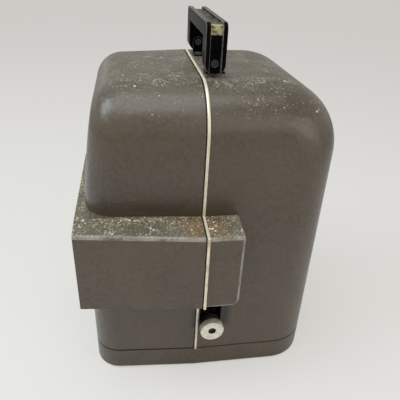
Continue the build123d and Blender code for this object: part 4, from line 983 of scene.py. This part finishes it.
beadRound = {**roundSettings, "segments": beadSettings["segments"]}
builders = {
    "tilt_knob": lambda width: makeKnob(knobSettings),
    "trim_bead": lambda width: roundedCopy("trim_bead", width, beadRound, keep=beadRim),
    "cover_shell": lambda width: roundedCopy("cover_shell", width, roundSettings, worn=boxEdgeWearAndHighlight),
    "body_shell": lambda width: roundedCopy("body_shell", width, roundSettings, worn=boxEdgeWearAndHighlight),
}
for nodeName, (finish, width) in dressing.items():
    if nodeName in builders:
        piece = builders[nodeName](width)
    else:
        piece = roundedCopy(nodeName, width, roundSettings)
    settle(piece, materials[finish], nodeName)
for node in frame["nodes"].values():
    node.data.materials.clear()
    node.data.materials.append(materials[dressing[node.name][0]])
print("nodes dressed")


# Pale floor that the camera looks through from below, and a plain soft studio round it.
# Each lamp: power, size, place and tint
studio = {
    "floor": colour(238, 236, 233),
    "floorDeep": colour(230, 227, 223),
    "floorSize": 6,
    "floorPatch": 3.0,
    "floorGrain": 300.0,
    "floorMottle": 0.25,
    "floorRoughness": 0.8,
    "seenFloor": colour(228, 225, 220),
    "seenShare": 0.62,
    "around": colour(224, 222, 220),
    "fill": 0.34,
    "aim": (0, 0, 0.15),
    "lamps": {
        "keyLamp": (7.6, 0.9, (-0.2, -0.3, 1.25), (0.93, 0.98, 1.0)),
        "sideLamp": (3.2, 0.8, (1.05, -0.9, 0.5), (1.0, 0.96, 0.9)),
        "frontLamp": (1.4, 0.7, (0.45, -1.2, 0.75), (1.0, 0.97, 0.92)),
        "leftLamp": (8.2, 0.6, (-1.0, -0.12, 1.1), (0.76, 0.9, 1.0)),
    },
}


def makeFloor(settings):
    shape = bmesh.new()
    bmesh.ops.create_grid(shape, x_segments=1, y_segments=1, size=settings["floorSize"])
    mesh = bpy.data.meshes.new("floor")
    shape.to_mesh(mesh)
    shape.free()
    floor = bpy.data.objects.new("floor", mesh)
    scene.collection.objects.link(floor)
    material, tree, shader = newMaterial("floorPaper")
    tone = useGroup(tree, mottle, Patch=settings["floorPatch"], Grain=settings["floorGrain"])
    share = product(tree, tone["Tone"], settings["floorMottle"])
    pale = mixColour(tree, share, settings["floor"], settings["floorDeep"])
    connect(tree, pale, shader.inputs["Base Color"])
    shader.inputs["Roughness"].default_value = settings["floorRoughness"]
    glow = addNode(tree, "ShaderNodeEmission", {"Color": settings["seenFloor"], "Strength": 1.0})
    seen = addNode(tree, "ShaderNodeLightPath").outputs["Is Camera Ray"]
    share = product(tree, seen, settings["seenShare"])
    lit = {0: share, 1: shader.outputs[0], 2: glow.outputs[0]}
    lit = addNode(tree, "ShaderNodeMixShader", lit).outputs[0]
    clear = addNode(tree, "ShaderNodeBsdfTransparent").outputs[0]
    below = addNode(tree, "ShaderNodeNewGeometry").outputs["Backfacing"]
    both = addNode(tree, "ShaderNodeMixShader", {0: below, 1: lit, 2: clear})
    connect(tree, both.outputs[0], tree.nodes["Material Output"].inputs["Surface"])
    mesh.materials.append(material)


def addLamp(name, power, size, place, tint):
    data = bpy.data.lights.new(name, "AREA")
    data.energy = power
    data.color = tint
    data.size = size
    lamp = bpy.data.objects.new(name, data)
    scene.collection.objects.link(lamp)
    lamp.location = place
    lamp.rotation_mode = "QUATERNION"
    lamp.rotation_quaternion = (Vector(studio["aim"]) - Vector(place)).to_track_quat("-Z", "Y")


# The camera, metal and glass see the pale backdrop, which lights nothing. The fill does that
def makeWorld(settings):
    world = bpy.data.worlds.new("studio")
    scene.world = world
    world.use_nodes = True
    tree = world.node_tree
    tree.nodes.clear()
    path = addNode(tree, "ShaderNodeLightPath").outputs
    rays = [path[f"Is {kind} Ray"] for kind in ("Glossy", "Transmission", "Camera")]
    backdrop = {"Color": settings["around"], "Strength": 1.0}
    backdrop = addNode(tree, "ShaderNodeBackground", backdrop).outputs[0]
    fill = {"Color": (1, 1, 1, 1), "Strength": settings["fill"]}
    fill = addNode(tree, "ShaderNodeBackground", fill).outputs[0]
    both = addNode(tree, "ShaderNodeMixShader", {0: largest(tree, *rays), 1: fill, 2: backdrop})
    addNode(tree, "ShaderNodeOutputWorld", {"Surface": both.outputs[0]})


makeFloor(studio)
makeWorld(studio)
for name, lampSettings in studio["lamps"].items():
    addLamp(name, *lampSettings)
print("studio lit")
